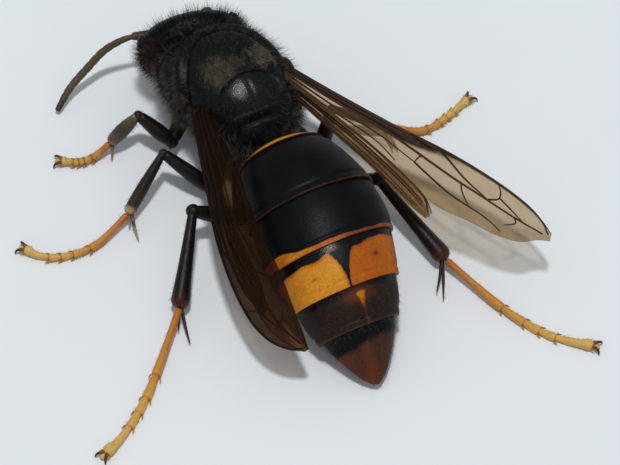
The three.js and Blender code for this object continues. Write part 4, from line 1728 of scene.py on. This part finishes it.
@dataclass
class Wings:
    """Four wings, each a pleated membrane with raised veins, and their tegulae."""

    bench: Workbench
    thickness: float = 0.04
    cells: tuple[int, int] = (120, 48)
    sag: float = 0.12
    least_normal: float = 1e-9
    vein_radius: float = 0.07
    vein_taper: tuple[float, ...] = (1.0, 0.9, 0.6)
    stigma_radii: tuple[float, ...] = (0.08, 0.2, 0.07)
    stigma_row: float = 0.07
    plans: tuple[WingPlan, ...] = (
        WingPlan(
            name="forewing_left",
            lead=(
                (3.15, -2.9, 5), (4.02, -0.07, 5.1), (4.91, 3.15, 4.9), (5.65, 6.01, 4.6), (6.01, 8.28, 4.4),
                (6.14, 10.71, 4.1), (5.85, 12.73, 3.9), (5.02, 13.99, 3.7), (4.1, 14.55, 3.6),
            ),
            trail=(
                (2.6, -2.2, 5.6), (3, 0.6, 6.1), (3.1, 3.42, 6.3), (3.5, 6, 6.3), (3.65, 8.2, 6.1),
                (3.62, 10.26, 5.6), (3.72, 12.2, 4.9), (3.78, 13.7, 4.2), (3.82, 14.5, 3.65),
            ),
            fold=0.8,
            veins=FOREWING_VEINS,
            finish=LEFT_MEMBRANE,
            stigma=(0.47, 0.56),
            dusk=0.25,
            pleat=0.035,
        ),
        WingPlan(
            name="forewing_right",
            lead=(
                (-2.75, -2.4, 5.2), (-4.61, 0.66, 5.1), (-6.82, 3.99, 4.9), (-8.34, 6.07, 4.7),
                (-9.76, 8.33, 4.5), (-11.07, 10.82, 4.2), (-11.6, 12.5, 4), (-11.72, 13.5, 3.85),
            ),
            trail=(
                (-2.1, -1.6, 5.5), (-3.3, 1.3, 5.35), (-4.75, 4.6, 5.15), (-5.7, 8, 4.9), (-6.55, 9.75, 4.7),
                (-7.65, 11.1, 4.5), (-8.7, 12.45, 4.25), (-9.8, 13.35, 4.05), (-10.8, 13.55, 3.9),
                (-11.45, 13.85, 3.82),
            ),
            fold=0.0,
            veins=FOREWING_VEINS,
            finish=RIGHT_MEMBRANE,
            stigma=(0.46, 0.56),
        ),
        WingPlan(
            name="hindwing_left",
            lead=(
                (2.9, -1.2, 4.5), (3.9, 0.9, 4.35), (4.6, 3.2, 4.1), (5.15, 5.6, 3.85),
                (5.45, 7.8, 3.6), (5.45, 9.8, 3.4), (5, 11.2, 3.3),
            ),
            trail=(
                (2.4, -0.6, 4.9), (3.5, 1.2, 4.85), (4, 3.1, 4.7), (4.3, 5.4, 4.45),
                (4.4, 7.4, 4.2), (4.45, 9.5, 3.9), (4.75, 11.1, 3.4),
            ),
            fold=0.0,
            veins=HINDWING_VEINS,
            finish=LEFT_MEMBRANE,
        ),
        WingPlan(
            name="hindwing_right",
            lead=(
                (-2.7, -1.6, 4.6), (-4, 1.3, 4.35), (-5.1, 4, 4.15),
                (-5.95, 6.4, 3.95), (-6.4, 8.2, 3.8), (-6.3, 9.3, 3.7),
            ),
            trail=(
                (-2.3, -0.7, 4.7), (-3.15, 1.95, 4.65), (-4.1, 4.6, 4.5),
                (-4.8, 7, 4.35), (-5.35, 8.7, 4.1), (-5.85, 9.45, 3.8),
            ),
            fold=0.9,
            veins=FOLDED_VEINS,
            finish=RIGHT_MEMBRANE,
            pleat=0.05,
        ),
    )
    tegulae: dict[Side, Point] = field(default_factory=lambda: {
        Side.LEFT: (3.6, -3.15, 4.95),
        Side.RIGHT: (-2.65, -2.5, 5.05),
    })
    tegula_size: Point = (0.45, 0.72, 0.5)

    def _surface(
        self,
        plan: WingPlan,
        u: Array,
        v: Array,
        drop: Array | float = 0.0,
    ) -> Array:
        """Points of a wing's pleated surface.

        Args:
            plan: the wing.
            u: shares of the span.
            v: shares of the chord.
            drop: millimetres below the upper layer.

        Returns:
            The points in body millimetres.
        """
        lead, trail = Way(plan.lead), Way(plan.trail)
        start, end = lead.at(u), trail.at(u)
        across = end - start
        normal = np.cross(across, lead.along(u))
        normal /= np.maximum(np.linalg.norm(normal, axis=-1, keepdims=True), self.least_normal)
        normal *= np.where(normal[..., 2:3] < 0, -1, 1)
        width = np.linalg.norm(across, axis=-1)
        pleat = plan.pleat * np.sin(v * 15 + 1.2 * np.sin(4 * u)) * smooth_step(0.02, 0.2, v)
        sag = self.sag * np.sin(v * math.pi) * np.clip(width / 2, 0, 1)
        lift = pleat * np.clip(width / 2, 0.2, 1) + sag - np.asarray(drop)
        return start + across * v[..., None] + normal * lift[..., None]

    @staticmethod
    def _depth(plan: WingPlan, u: Array, v: Array, upper: Array) -> Array:
        """How dark the membrane is, darker still where one layer lies alone.

        Args:
            plan: the wing.
            u: shares of the span.
            v: shares of the chord.
            upper: whether the vertex is on the upper layer.

        Returns:
            The depth from 0 to 1.
        """
        strip = (0.42 - 0.3 * smooth_step(0.3, 0.62, u)) if plan.stigma else 0.1
        costal = smooth_step(0.06, -0.04, v - strip) * smooth_step(0.7, 0.5, u) + smooth_step(0.08, 0.02, v)
        tip = 0.12 * smooth_step(0.75, 1.0, u)
        streaks = 0.34 * smooth_step(0.5, 0.95, np.sin(v * 19 + 0.6 * np.sin(5 * u)))
        smoke = 0.16 * smooth_step(0.55, 0.85, u) * smooth_step(0.4, 0.7, v)
        lone = 2.2 * plan.dusk * smooth_step(0.3, 0.2, v)
        total = costal * upper + tip + streaks * smooth_step(0.5, 0.3, u) + smoke + lone + plan.dusk
        return np.clip(total, 0, 1)

    def _membrane(self, plan: WingPlan) -> None:
        """Makes a membrane, turned under where the wing is folded.

        Args:
            plan: the wing.
        """
        sheet = self.bench.sheet("membrane", *self.cells)
        flat = (self.bench.points(sheet)[:, :2] + 1) / 2
        u, unfolded = flat[:, 0], flat[:, 1] * (1 + plan.fold)
        v = np.where(unfolded > 1, 2 - unfolded, unfolded)
        under = 0.16 * smooth_step(0.97, 1.06, unfolded)
        under += 0.12 * smooth_step(1.0, 1.0 + max(plan.fold, 0.1), unfolded)
        self.bench.place(sheet, self._surface(plan, u, v, under))
        self.bench.note(sheet, "depth", self._depth(plan, u, v, unfolded <= 1))
        self.bench.thicken(sheet, self.thickness)
        self.bench.assemble(f"{plan.name}_membrane", [sheet], (plan.name,), "wing", plan.finish, 80)

    def _veins(self, plan: WingPlan) -> None:
        """Makes a wing's raised veins and its stigma.

        Args:
            plan: the wing.
        """
        veins = []
        for width, way in plan.veins:
            ride = Way([(span, chord, 0.0) for span, chord in way]).at(np.linspace(0, 1, 14))
            points = self._surface(plan, ride[:, 0], ride[:, 1])
            radii = [self.vein_radius * width * share for share in self.vein_taper]
            veins.append(self.bench.tube("vein", points, radii, 10, 40))
        if plan.stigma:
            points = self._surface(plan, np.linspace(*plan.stigma, 6), np.full(6, self.stigma_row))
            veins.append(self.bench.tube("stigma", points, self.stigma_radii, 12, 16, 0.5))
        finish = DARK_VEIN if plan.finish is LEFT_MEMBRANE else AMBER_VEIN
        self.bench.assemble(f"{plan.name}_veins", veins, (), "wing", finish)

    def build(self) -> None:
        """Makes and dresses the wings and tegulae."""
        for plan in self.plans:
            self._membrane(plan)
            self._veins(plan)
        for side, centre in self.tegulae.items():
            name = f"tegula_{side.label}"
            piece = self.bench.bulb(f"{name}_cap", centre, self.tegula_size, 32, 20)
            self.bench.note(piece, "along", 0.4)
            self.bench.hand_over(piece, (name,), "brown", TEGULA, SMOOTH)


class Pair(Enum):
    """The three pairs of legs."""

    FORE = "fore"
    MID = "mid"
    HIND = "hind"


@dataclass(frozen=True)
class LegPlan:
    """One leg's joints in body millimetres, and its girth as a share of the thickest leg's."""

    name: str
    pair: Pair
    coxa: Point
    hip: Point
    knee: Point
    ankle: Point
    foot: tuple[Point, ...]
    spur: Point
    girth: float


@dataclass
class Legs:
    """Six jointed legs with spurs, claws and pads."""

    bench: Workbench
    coxa_radius: float = 0.72
    coxa_shape: tuple[float, ...] = (1.0, 0.85, 0.55)
    femur_radius: float = 0.52
    femur_shape: tuple[float, ...] = (0.8, 1.15, 1.0, 0.72)
    tibia_radius: float = 0.4
    tibia_shapes: dict[Pair, tuple[float, ...]] = field(default_factory=lambda: {
        Pair.FORE: (0.62, 1.15, 1.3, 1.0),
        Pair.MID: (0.62, 0.95, 1.15, 1.1),
        Pair.HIND: (0.75, 1.0, 1.28, 1.7),
    })
    tibia_finishes: dict[Pair, LengthFinish] = field(default_factory=lambda: {
        Pair.FORE: FORE_LEG,
        Pair.MID: MID_LEG,
        Pair.HIND: LEG,
    })
    spurs: tuple[tuple[float, float], ...] = ((1.0, 0.0), (0.7, 0.5))
    spur_radii: tuple[float, ...] = (0.11, 0.09, 0.03)
    spur_floor: float = 0.12
    tarsus_radius: float = 0.33
    shares: tuple[float, ...] = (0.0, 0.44, 0.59, 0.69, 0.79, 1.0)
    overlap: float = 0.022
    flares: tuple[float, ...] = (1.0, 1.15, 1.15, 1.15, 1.5)
    spine_radii: tuple[float, ...] = (0.055, 0.045, 0.015)
    pad_size: Point = (0.2, 0.2, 0.13)
    claw: tuple[Point, ...] = ((-0.1, 0.08, 0.02), (0.14, 0.2, 0.1), (0.34, 0.32, 0.02), (0.42, 0.4, -0.2))
    claw_radii: tuple[float, ...] = (0.1, 0.09, 0.065, 0.025)
    claw_tip_height: float = 0.08
    plans: tuple[LegPlan, ...] = (
        LegPlan(
            "fore_left", Pair.FORE,
            (2.2, -4.9, 2.4), (4.4, -2.95, 1.25), (5.79, -4.52, 2.79), (7.59, -4.59, 0.96),
            ((8.8, -4.48, 0.27), (9.69, -4.62, 0.2), (10.5, -5.05, 0.32)), (7.8, -3.9, 0.3), 0.9,
        ),
        LegPlan(
            "fore_right", Pair.FORE,
            (-1.1, -4.9, 2.4), (-3.1, -3.4, 1.2), (-2.75, -5.5, 2.1), (-2.3, -7.3, 0.8),
            ((-1.75, -8.4, 0.27), (-1.45, -9.1, 0.2), (-1.3, -9.85, 0.32)), (-2.9, -8, 0.3), 0.9,
        ),
        LegPlan(
            "mid_left", Pair.MID,
            (1.8, -1.7, 2.1), (3.5, 0.9, 0.85), (5.59, -1.42, 2.88), (8.62, 0.27, 0.8),
            ((11.35, 1.2, 0.27), (13.9, 0.66, 0.2), (14.8, -0.35, 0.32)), (8.65, 1.9, 0.3), 0.9,
        ),
        LegPlan(
            "mid_right", Pair.MID,
            (-1.4, -1.7, 2.1), (-3.2, 1, 0.85), (-4.6, -0.4, 2.5), (-7.5, 0.95, 0.75),
            ((-9.4, 1.85, 0.27), (-11.2, 1.5, 0.2), (-12.75, 0.95, 0.32)), (-7.5, 2.5, 0.3), 0.9,
        ),
        LegPlan(
            "hind_left", Pair.HIND,
            (1.3, 0.4, 2.3), (2.9, 3.3, 0.85), (5.72, 3.07, 3.07), (8.58, 7.45, 0.9),
            ((12.58, 11.75, 0.27), (14.8, 13.45, 0.2), (16.05, 14.05, 0.32)), (8.85, 9.5, 0.3), 1.0,
        ),
        LegPlan(
            "hind_right", Pair.HIND,
            (-1.3, 0.4, 2.3), (-2.9, 3.5, 0.85), (-4.73, 5.51, 3.1), (-6.51, 10.83, 0.86),
            ((-8.45, 15.4, 0.27), (-10.05, 17.8, 0.2), (-11.7, 19.2, 0.32)), (-5.35, 12.9, 0.3), 1.0,
        ),
    )

    def build(self) -> list[Piece]:
        """Makes and dresses the legs.

        Returns:
            The femora, tibiae and tarsi, which carry bristles.
        """
        haired = []
        for plan in self.plans:
            self._coxa(plan)
            haired += [self._femur(plan), self._tibia(plan), self._tarsus(plan)]
            self._claws(plan)
        return haired

    def _coxa(self, plan: LegPlan) -> None:
        """Makes the coxa with its trochanter.

        Args:
            plan: the leg.
        """
        coxa, hip = np.array(plan.coxa), np.array(plan.hip)
        radii = [self.coxa_radius * plan.girth * share for share in self.coxa_shape]
        way = (coxa, coxa + direction(hip - coxa) * 1.6, hip)
        limb = self.bench.tube(f"{plan.name}_coxa_limb", way, radii, 24, 24, 1.0, (0.0, 0.4))
        self.bench.hand_over(limb, (f"{plan.name}_coxa",), "shell", LEG, SMOOTH)

    def _femur(self, plan: LegPlan) -> Piece:
        """Makes the femur with a ball at the hip and at the knee.

        Args:
            plan: the leg.

        Returns:
            The femur.
        """
        hip, knee = np.array(plan.hip), np.array(plan.knee)
        limb = direction(knee - hip)
        thick = self.femur_radius * plan.girth
        hind = plan.pair is Pair.HIND
        way = (hip - limb * 0.1, hip + limb * 1.2, knee)
        radii = [thick * share for share in self.femur_shape]
        femur = self.bench.tube("femur", way, radii, 24, 28, 0.85, (0.0, 0.8))
        hinge = self.bench.bulb("hinge", plan.hip, (thick * 0.8,) * 3, 20, 12)
        self.bench.note(hinge, "along", 0.5)
        cap = self.bench.bulb("knee", plan.knee, (thick * (0.8 if hind else 0.56),) * 3, 20, 12)
        # Painted highlight: the fore and mid knee balls take a reddish-brown tone that stands for the
        # orange-brown gleam on those knees.
        self.bench.note(cap, "along", 0.5 if hind else 0.9)
        name = f"{plan.name}_femur"
        return self.bench.assemble(f"{name}_limb", [femur, hinge, cap], (name,), "leg", LEG, SMOOTH)

    def _tibia(self, plan: LegPlan) -> Piece:
        """Makes the tibia with its two spurs.

        Args:
            plan: the leg.

        Returns:
            The tibia.
        """
        knee, ankle = np.array(plan.knee), np.array(plan.ankle)
        shin = direction(ankle - knee)
        radii = [self.tibia_radius * plan.girth * share for share in self.tibia_shapes[plan.pair]]
        way = (knee - shin * 0.05, knee + shin * 1.2, ankle)
        pieces = [self.bench.tube("tibia", way, radii, 24, 28, 0.86)]
        aside = direction(np.cross(shin, UP))
        root = ankle - shin * 0.35
        for share, spread in self.spurs:
            tip = root + (np.array(plan.spur) - root) * share + aside * spread
            tip[2] = max(tip[2], self.spur_floor)
            bend = (root + tip) / 2 + shin * 0.06
            pieces.append(self.bench.tube("spur", (root, bend, tip), self.spur_radii, 10, 8, 1.0, (0.8, 1.0)))
        name = f"{plan.name}_tibia"
        finish = self.tibia_finishes[plan.pair]
        return self.bench.assemble(f"{name}_limb", pieces, (name,), "leg", finish, SMOOTH)

    def _tarsomere(self, path: Way, index: int, thick: float) -> list[Piece]:
        """Makes one tarsomere with the two spines at its end.

        Args:
            path: the way of the tarsus.
            index: the tarsomere, from 0 at the ankle.
            thick: the tarsus's radius.

        Returns:
            The tarsomere and its spines.
        """
        start, end = self.shares[index : index + 2]
        first = index == 0
        stops = (max(start - self.overlap, 0.0), (start + end) / 2, start + (end - start) * 0.8, end)
        way = [path.at(np.array(share)) for share in stops]
        slim = 0.9 if first else 1.0
        radii = (
            thick * (0.78 if first else 0.58),
            thick * 0.8 * slim,
            thick * 0.92 * slim,
            thick * self.flares[index],
        )
        length = self.bench.tube("tarsomere", way, radii, 18, 14, 0.85, (start, end))
        reach = np.linalg.norm(self.bench.local(length) - way[-1], axis=1)
        self.bench.note(length, "band", (0.85 if index < 4 else 0.0) * smooth_step(0.34, 0.12, reach))
        pieces = [length]
        heading = direction(way[-1] - way[-2])
        across = np.cross(heading, UP)
        for side in BOTH_WAYS:
            root = way[-1] - heading * 0.12 + across * side * thick * 0.8
            tip = root + heading * 0.28 + across * side * 0.1 - np.array([0, 0, 0.04])
            spine = self.bench.tube("spine", (root, (root + tip) / 2, tip), self.spine_radii, 8, 4)
            self.bench.note(spine, "band", 0.4)
            pieces.append(spine)
        return pieces

    @staticmethod
    def _end(plan: LegPlan) -> tuple[Array, Array]:
        """Where a foot ends and the level direction in which it points.

        Args:
            plan: the leg.

        Returns:
            The place and the direction.
        """
        path = Way([plan.ankle, *plan.foot])
        ahead = path.along(np.array(1.0))
        ahead[2] = 0
        return path.at(np.array(1.0)), direction(ahead)

    def _tarsus(self, plan: LegPlan) -> Piece:
        """Makes the five tarsomeres and the pad.

        Args:
            plan: the leg.

        Returns:
            The tarsus.
        """
        path = Way([plan.ankle, *plan.foot])
        pieces = []
        for index in range(len(self.flares)):
            pieces += self._tarsomere(path, index, self.tarsus_radius * plan.girth)
        end, ahead = self._end(plan)
        centre = tuple(end + ahead * 0.16 + np.array([0, 0, -0.05]))
        pad = self.bench.bulb("pad", centre, self.pad_size, 16, 10)
        self.bench.note(pad, "along", 0.75)
        name = f"{plan.name}_tarsus"
        return self.bench.assemble(f"{name}_limb", [*pieces, pad], (name,), "foot", FOOT, SMOOTH)

    def _claws(self, plan: LegPlan) -> None:
        """Makes the two claws, their tips just above the floor.

        Args:
            plan: the leg.
        """
        end, ahead = self._end(plan)
        aside = np.array([-ahead[1], ahead[0], 0])
        claws = []
        for side in BOTH_WAYS:
            way = [end + ahead * f + aside * side * s + np.array([0, 0, h]) for f, s, h in self.claw]
            way[-1][2] = self.claw_tip_height
            claws.append(self.bench.tube("claw", way, self.claw_radii, 12, 14))
        self.bench.assemble(f"{plan.name}_claws", claws, (), "foot", CLAW)


@dataclass(frozen=True)
class Roots:
    """Where the hairs of a coat stand, with one row for each hair."""

    points: Array
    normals: Array
    directions: Array
    lengths: Array
    spots: Array


@dataclass
class Coat:
    """A coat of single solid hairs on one skin."""

    name: str
    count: int
    length: Range
    radius: float
    finish: HairFinish
    where: Callable[[Array, Array], Array]
    lean: Point = (0.0, 0.35, 0.15)
    seed: int = 1
    spread: float = 0.22
    curl: float = 0.15
    sunk: float = 0.04
    above_floor: float = 0.02
    least_area: float = 1e-12
    patch: float = 0.003

    def build(self, bench: Workbench, skin: Piece, slot: str) -> Piece:
        """Grows the coat.

        Args:
            bench: the workbench.
            skin: the piece that it grows from.
            slot: not used.

        Returns:
            The coat.
        """
        rng = np.random.default_rng(self.seed)
        mesh = skin.data
        mesh.calc_loop_triangles()
        corners = np.empty(len(mesh.loop_triangles) * 3, int)
        mesh.loop_triangles.foreach_get("vertices", corners)
        corners = corners.reshape(-1, 3)
        points = bench.local(skin)
        a, b, c = points[corners[:, 0]], points[corners[:, 1]], points[corners[:, 2]]
        facing = np.cross(b - a, c - a)
        area = np.linalg.norm(facing, axis=1)
        normal = facing / np.maximum(area, self.least_area)[:, None]
        weight = area * np.clip(self.where((a + b + c) / 3, normal), 0, 1)
        if weight.sum() <= 0:
            raise ValueError(f"no place for the coat {self.name}")
        chosen = rng.choice(len(weight), self.count, p=weight / weight.sum())
        share = rng.random((self.count, 2))
        flip = share.sum(1) > 1
        share[flip] = 1 - share[flip]
        places = a[chosen] + (b - a)[chosen] * share[:, :1] + (c - a)[chosen] * share[:, 1:]
        directions = normal[chosen] + np.array(self.lean) + rng.normal(0, self.spread, (self.count, 3))
        directions /= np.linalg.norm(directions, axis=1, keepdims=True)
        lengths = rng.uniform(*self.length, self.count)
        spots = self._spots(mesh, corners[chosen, 0], places)
        coat = self._grow(bench, Roots(places, normal[chosen], directions, lengths, spots), rng)
        return bench.hand_over(coat, (), slot, self.finish, SMOOTH)

    @staticmethod
    def _spots(mesh: bpy.types.Mesh, vertices: Array, places: Array) -> Array:
        """The unwrapped place of each hair, from the skin's stored unwrap or else from above.

        Args:
            mesh: the skin's mesh.
            vertices: a vertex near each hair.
            places: where the hairs stand.

        Returns:
            One row of two shares for each hair.
        """
        if not mesh.attributes.get("unwrap_u"):
            low, high = places.min(0), places.max(0)
            return inset((places - low) / np.maximum(high - low, TINY))[:, :2]
        columns = []
        for key in ("unwrap_u", "unwrap_v"):
            values = np.empty(len(mesh.vertices), np.float32)
            mesh.attributes[key].data.foreach_get("value", values)
            columns.append(values[vertices])
        return np.stack(columns, -1)

    @staticmethod
    def _hair(bench: Workbench) -> tuple[Array, list[tuple[int, ...]]]:
        """Models one hair, a cone cut once so that it can bend.

        Args:
            bench: the workbench.

        Returns:
            Its vertices and its faces.
        """
        bench.clear()
        bpy.ops.mesh.primitive_cone_add(vertices=3, radius1=1, radius2=0, depth=1, end_fill_type="NGON")
        hair = bpy.context.object
        bpy.ops.object.mode_set(mode="EDIT")
        bpy.ops.mesh.select_all(action="SELECT")
        bpy.ops.mesh.bisect(plane_co=(0, 0, -0.05), plane_no=(0, 0, 1))
        bpy.ops.object.mode_set(mode="OBJECT")
        points = bench.points(hair)
        faces = [tuple(polygon.vertices) for polygon in hair.data.polygons]
        bpy.data.objects.remove(hair)
        return points, faces

    def _bend(self, hair: Array, roots: Roots, rng: np.random.Generator) -> Array:
        """Sets a copy of the hair on every root, each leaning and curling on its own.

        Args:
            hair: the vertices of one hair.
            roots: where the hairs stand.
            rng: the random numbers.

        Returns:
            The vertices of all hairs, a row for each hair.
        """
        directions = roots.directions
        count = len(roots.points)
        height = (hair[:, 2] + 0.5)[None, :, None]
        side = np.cross(directions, rng.normal(0, 1, directions.shape))
        side /= np.linalg.norm(side, axis=1, keepdims=True)
        other = np.cross(directions, side)
        curl = np.array(self.lean) * 0.5 + rng.normal(0, self.curl, directions.shape)
        size = (self.radius * rng.uniform(0.75, 1.2, count))[:, None, None]
        lengths = roots.lengths[:, None, None]
        body = (
            (roots.points - roots.normals * self.sunk)[:, None]
            + directions[:, None] * (height * lengths)
            + curl[:, None] * (height**2 * lengths * 0.5)
            + side[:, None] * (hair[None, :, 0:1] * size)
            + other[:, None] * (hair[None, :, 1:2] * size)
        )
        body[..., 2] = np.maximum(body[..., 2], self.above_floor)
        return body

    def _grow(self, bench: Workbench, roots: Roots, rng: np.random.Generator) -> Piece:
        """Copies one modelled hair to every root and unwraps each beside its place on the skin.

        Args:
            bench: the workbench.
            roots: where the hairs stand.
            rng: the random numbers.

        Returns:
            The coat, not dressed yet.
        """
        hair, faces = self._hair(bench)
        body = self._bend(hair, roots, rng)
        total = len(roots.points)
        all_faces = [tuple(i * len(hair) + v for v in face) for i in range(total) for face in faces]
        mesh = bpy.data.meshes.new(self.name)
        mesh.from_pydata(bench.to_scene(body.reshape(-1, 3)).tolist(), [], all_faces)
        coat = bpy.data.objects.new(self.name, mesh)
        bpy.context.collection.objects.link(coat)
        bench.note(coat, "along", np.tile(hair[:, 2] + 0.5, total))
        layer = mesh.uv_layers.new(name="OFBake")
        loops = np.empty(len(mesh.loops), int)
        mesh.loops.foreach_get("vertex_index", loops)
        flat = np.stack([hair[:, 0] * 0.5, hair[:, 2]], -1) * self.patch
        layer.data.foreach_set("uv", (roots.spots[:, None] + flat[None]).reshape(-1, 2)[loops].ravel())
        return coat


@dataclass
class Studio:
    """The floor, the lights and the camera."""

    bench: Workbench
    camera_place: Point = (58.6199, 132.2031, 211.4715)
    camera_target: Point = (0.3052, 7.1469, 3.0)
    focal_pixels: float = 4425.0
    picture_width: float = 620.0
    sensor: float = 36.0
    clip: Range = (0.001, 20.0)
    floor_side: float = 1.2
    key_size: float = 0.09
    key_place: Point = (0.05, 0.12, 1.0)
    key_power: float = 5.3
    world: Colour = (0.95, 0.98, 1.0)
    world_strength: float = 0.42

    def build(self) -> None:
        """Sets the floor, lights and camera."""
        self.bench.clear()
        bpy.ops.mesh.primitive_plane_add(size=self.floor_side)
        floor = bpy.context.object
        floor.name = "studio_floor"
        floor.data.materials.append(self.bench.material(FloorFinish()))
        self._light()
        self._camera()
        bpy.context.scene.view_settings.view_transform = "Standard"

    @staticmethod
    def _aim(thing: Piece, target: Vector) -> None:
        """Turns a lamp or camera towards a point."""
        thing.rotation_euler = (target - thing.location).to_track_quat("-Z", "Y").to_euler()

    def _light(self) -> None:
        """Sets the key lamp and the even light of the world."""
        bpy.ops.object.light_add(type="AREA", location=self.key_place)
        key = bpy.context.object
        key.name = "key"
        key.data.shape = "DISK"
        key.data.size = self.key_size
        key.data.energy = self.key_power
        self._aim(key, Vector((0, 0, 0)))
        world = bpy.data.worlds.new("studio")
        bpy.context.scene.world = world
        world.use_nodes = True
        background = world.node_tree.nodes["Background"]
        background.inputs["Color"].default_value = (*self.world, 1.0)
        background.inputs["Strength"].default_value = self.world_strength

    def _camera(self) -> None:
        """Sets the camera."""
        bpy.ops.object.camera_add()
        camera = bpy.context.object
        camera.name = "camera"
        camera.location = Vector(self.bench.to_scene(np.array(self.camera_place)))
        self._aim(camera, Vector(self.bench.to_scene(np.array(self.camera_target))))
        camera.data.sensor_width = self.sensor
        camera.data.lens = self.focal_pixels * self.sensor / self.picture_width
        camera.data.clip_start, camera.data.clip_end = self.clip
        bpy.context.scene.camera = camera


# Where hair grows: each function reads face centres and normals and gives a weight for each face


# Each gold patch's place aside, width, depth and strength
GOLD_PATCHES = ((1.5, 0.9, 0.85, 1.0), (0.25, 0.6, 0.4, 0.35), (-1.1, 0.75, 0.75, 0.85))


def anywhere(points: Array, normals: Array) -> Array:
    """Even growth."""
    return np.ones(len(points))


def flanks(points: Array, normals: Array) -> Array:
    """Thick growth on the thorax's sides and front."""
    return smooth_step(0.35, -0.2, normals[:, 2]) + 0.1


def back(points: Array, normals: Array) -> Array:
    """Growth over the upper side, off the smooth scutellum."""
    return smooth_step(0.1, 0.5, normals[:, 2]) * (0.08 + smooth_step(0.85, 1.1, from_scutellum(points)))


def rear_scutum(points: Array, normals: Array) -> Array:
    """Gold patches on the scutum's rear, with a faint one between them.

    Args:
        points: the faces' centres.
        normals: the faces' normals.

    Returns:
        The weight of each face.
    """
    x, y = points[:, 0], points[:, 1]
    ragged = 0.12 * np.sin(7 * x + 3 * y) + 0.1 * np.sin(5 * y - 9 * x)
    patches = sum(
        weight * smooth_step(1.35, 0.3, np.hypot((x - at) / wide, (y + 2.9) / deep) + ragged)
        for at, wide, deep, weight in GOLD_PATCHES
    )
    return smooth_step(0.3, 0.6, normals[:, 2]) * patches


def collar(points: Array, normals: Array) -> Array:
    """A fringe of pale hair round the pronotum's front rim, set where the rim catches the light: a painted
    highlight.
    """
    facing = smooth_step(0.0, 0.4, normals[:, 2]) * smooth_step(-0.8, -0.5, normals[:, 1])
    return smooth_step(-6.1, -6.4, points[:, 1]) * facing


def not_the_face(points: Array, normals: Array) -> Array:
    """Thin growth on the face and thick growth elsewhere."""
    return 0.12 + smooth_step(-0.6, -0.1, normals[:, 1])


THORAX_COATS = (
    Coat("thorax_flank_hair", 11000, (0.4, 0.95), 0.011, GREY_HAIR, flanks, seed=3),
    Coat("thorax_back_hair", 2600, (0.25, 0.6), 0.008, DARK_HAIR, back, (0.0, 0.5, 0.3), 4),
    Coat("thorax_gold_hair", 5200, (0.16, 0.38), 0.01, GOLD_HAIR, rear_scutum, (0.0, 0.9, 0.1), 5),
    # Painted highlight: the pale collar fringe stands for the light caught along the pronotum's front rim.
    Coat("thorax_collar_hair", 2600, (0.12, 0.26), 0.008, GREY_HAIR, collar, (0.0, 0.9, 0.2), 30),
)
HEAD_COAT = Coat("head_hair", 8500, (0.3, 0.85), 0.009, DARK_HAIR, not_the_face, (0.0, -0.1, 0.35), 6)


def gaster_coat(index: int) -> Coat:
    """The coat of one gaster segment, longer and paler on the last two.

    Args:
        index: the segment, from 0 in front.

    Returns:
        The coat.
    """
    length, finish = ((0.1, 0.25), DARK_HAIR) if index < 4 else ((0.2, 0.5), GREY_HAIR)
    return Coat(f"gaster_{index + 1}_hair", 800, length, 0.006, finish, anywhere, (0.0, 1.6, 0.0), 7 + index)


def leg_coat(index: int, limb: str) -> Coat:
    """The bristles of one piece of a leg, golden on the feet.

    Args:
        index: the piece's number.
        limb: the piece's name.

    Returns:
        The coat.
    """
    name = limb.replace("_limb", "_bristles")
    finish = GOLD_HAIR if "tarsus" in name else DARK_HAIR
    return Coat(name, 260, (0.12, 0.3), 0.012, finish, anywhere, (0.0, 0.0, -0.5), 40 + index)


def main() -> None:
    """Builds the hornet, its hair and its studio in order."""
    logging.basicConfig(level=logging.INFO, format="%(message)s")
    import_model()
    bench = Workbench()
    thorax = Thorax(bench).build()
    head = Head(bench).build()
    gaster = Gaster(bench).build()
    Wings(bench).build()
    legs = Legs(bench).build()
    for coat in THORAX_COATS:
        coat.build(bench, thorax, "shell")
    HEAD_COAT.build(bench, head, "shell")
    for index, segment in enumerate(gaster):
        gaster_coat(index).build(bench, segment, "shell")
    for index, limb in enumerate(legs):
        leg_coat(index, limb.name).build(bench, limb, "leg")
    Studio(bench).build()
    log.info("%d pieces made", len(bench.made))


if __name__ == "__main__":
    main()
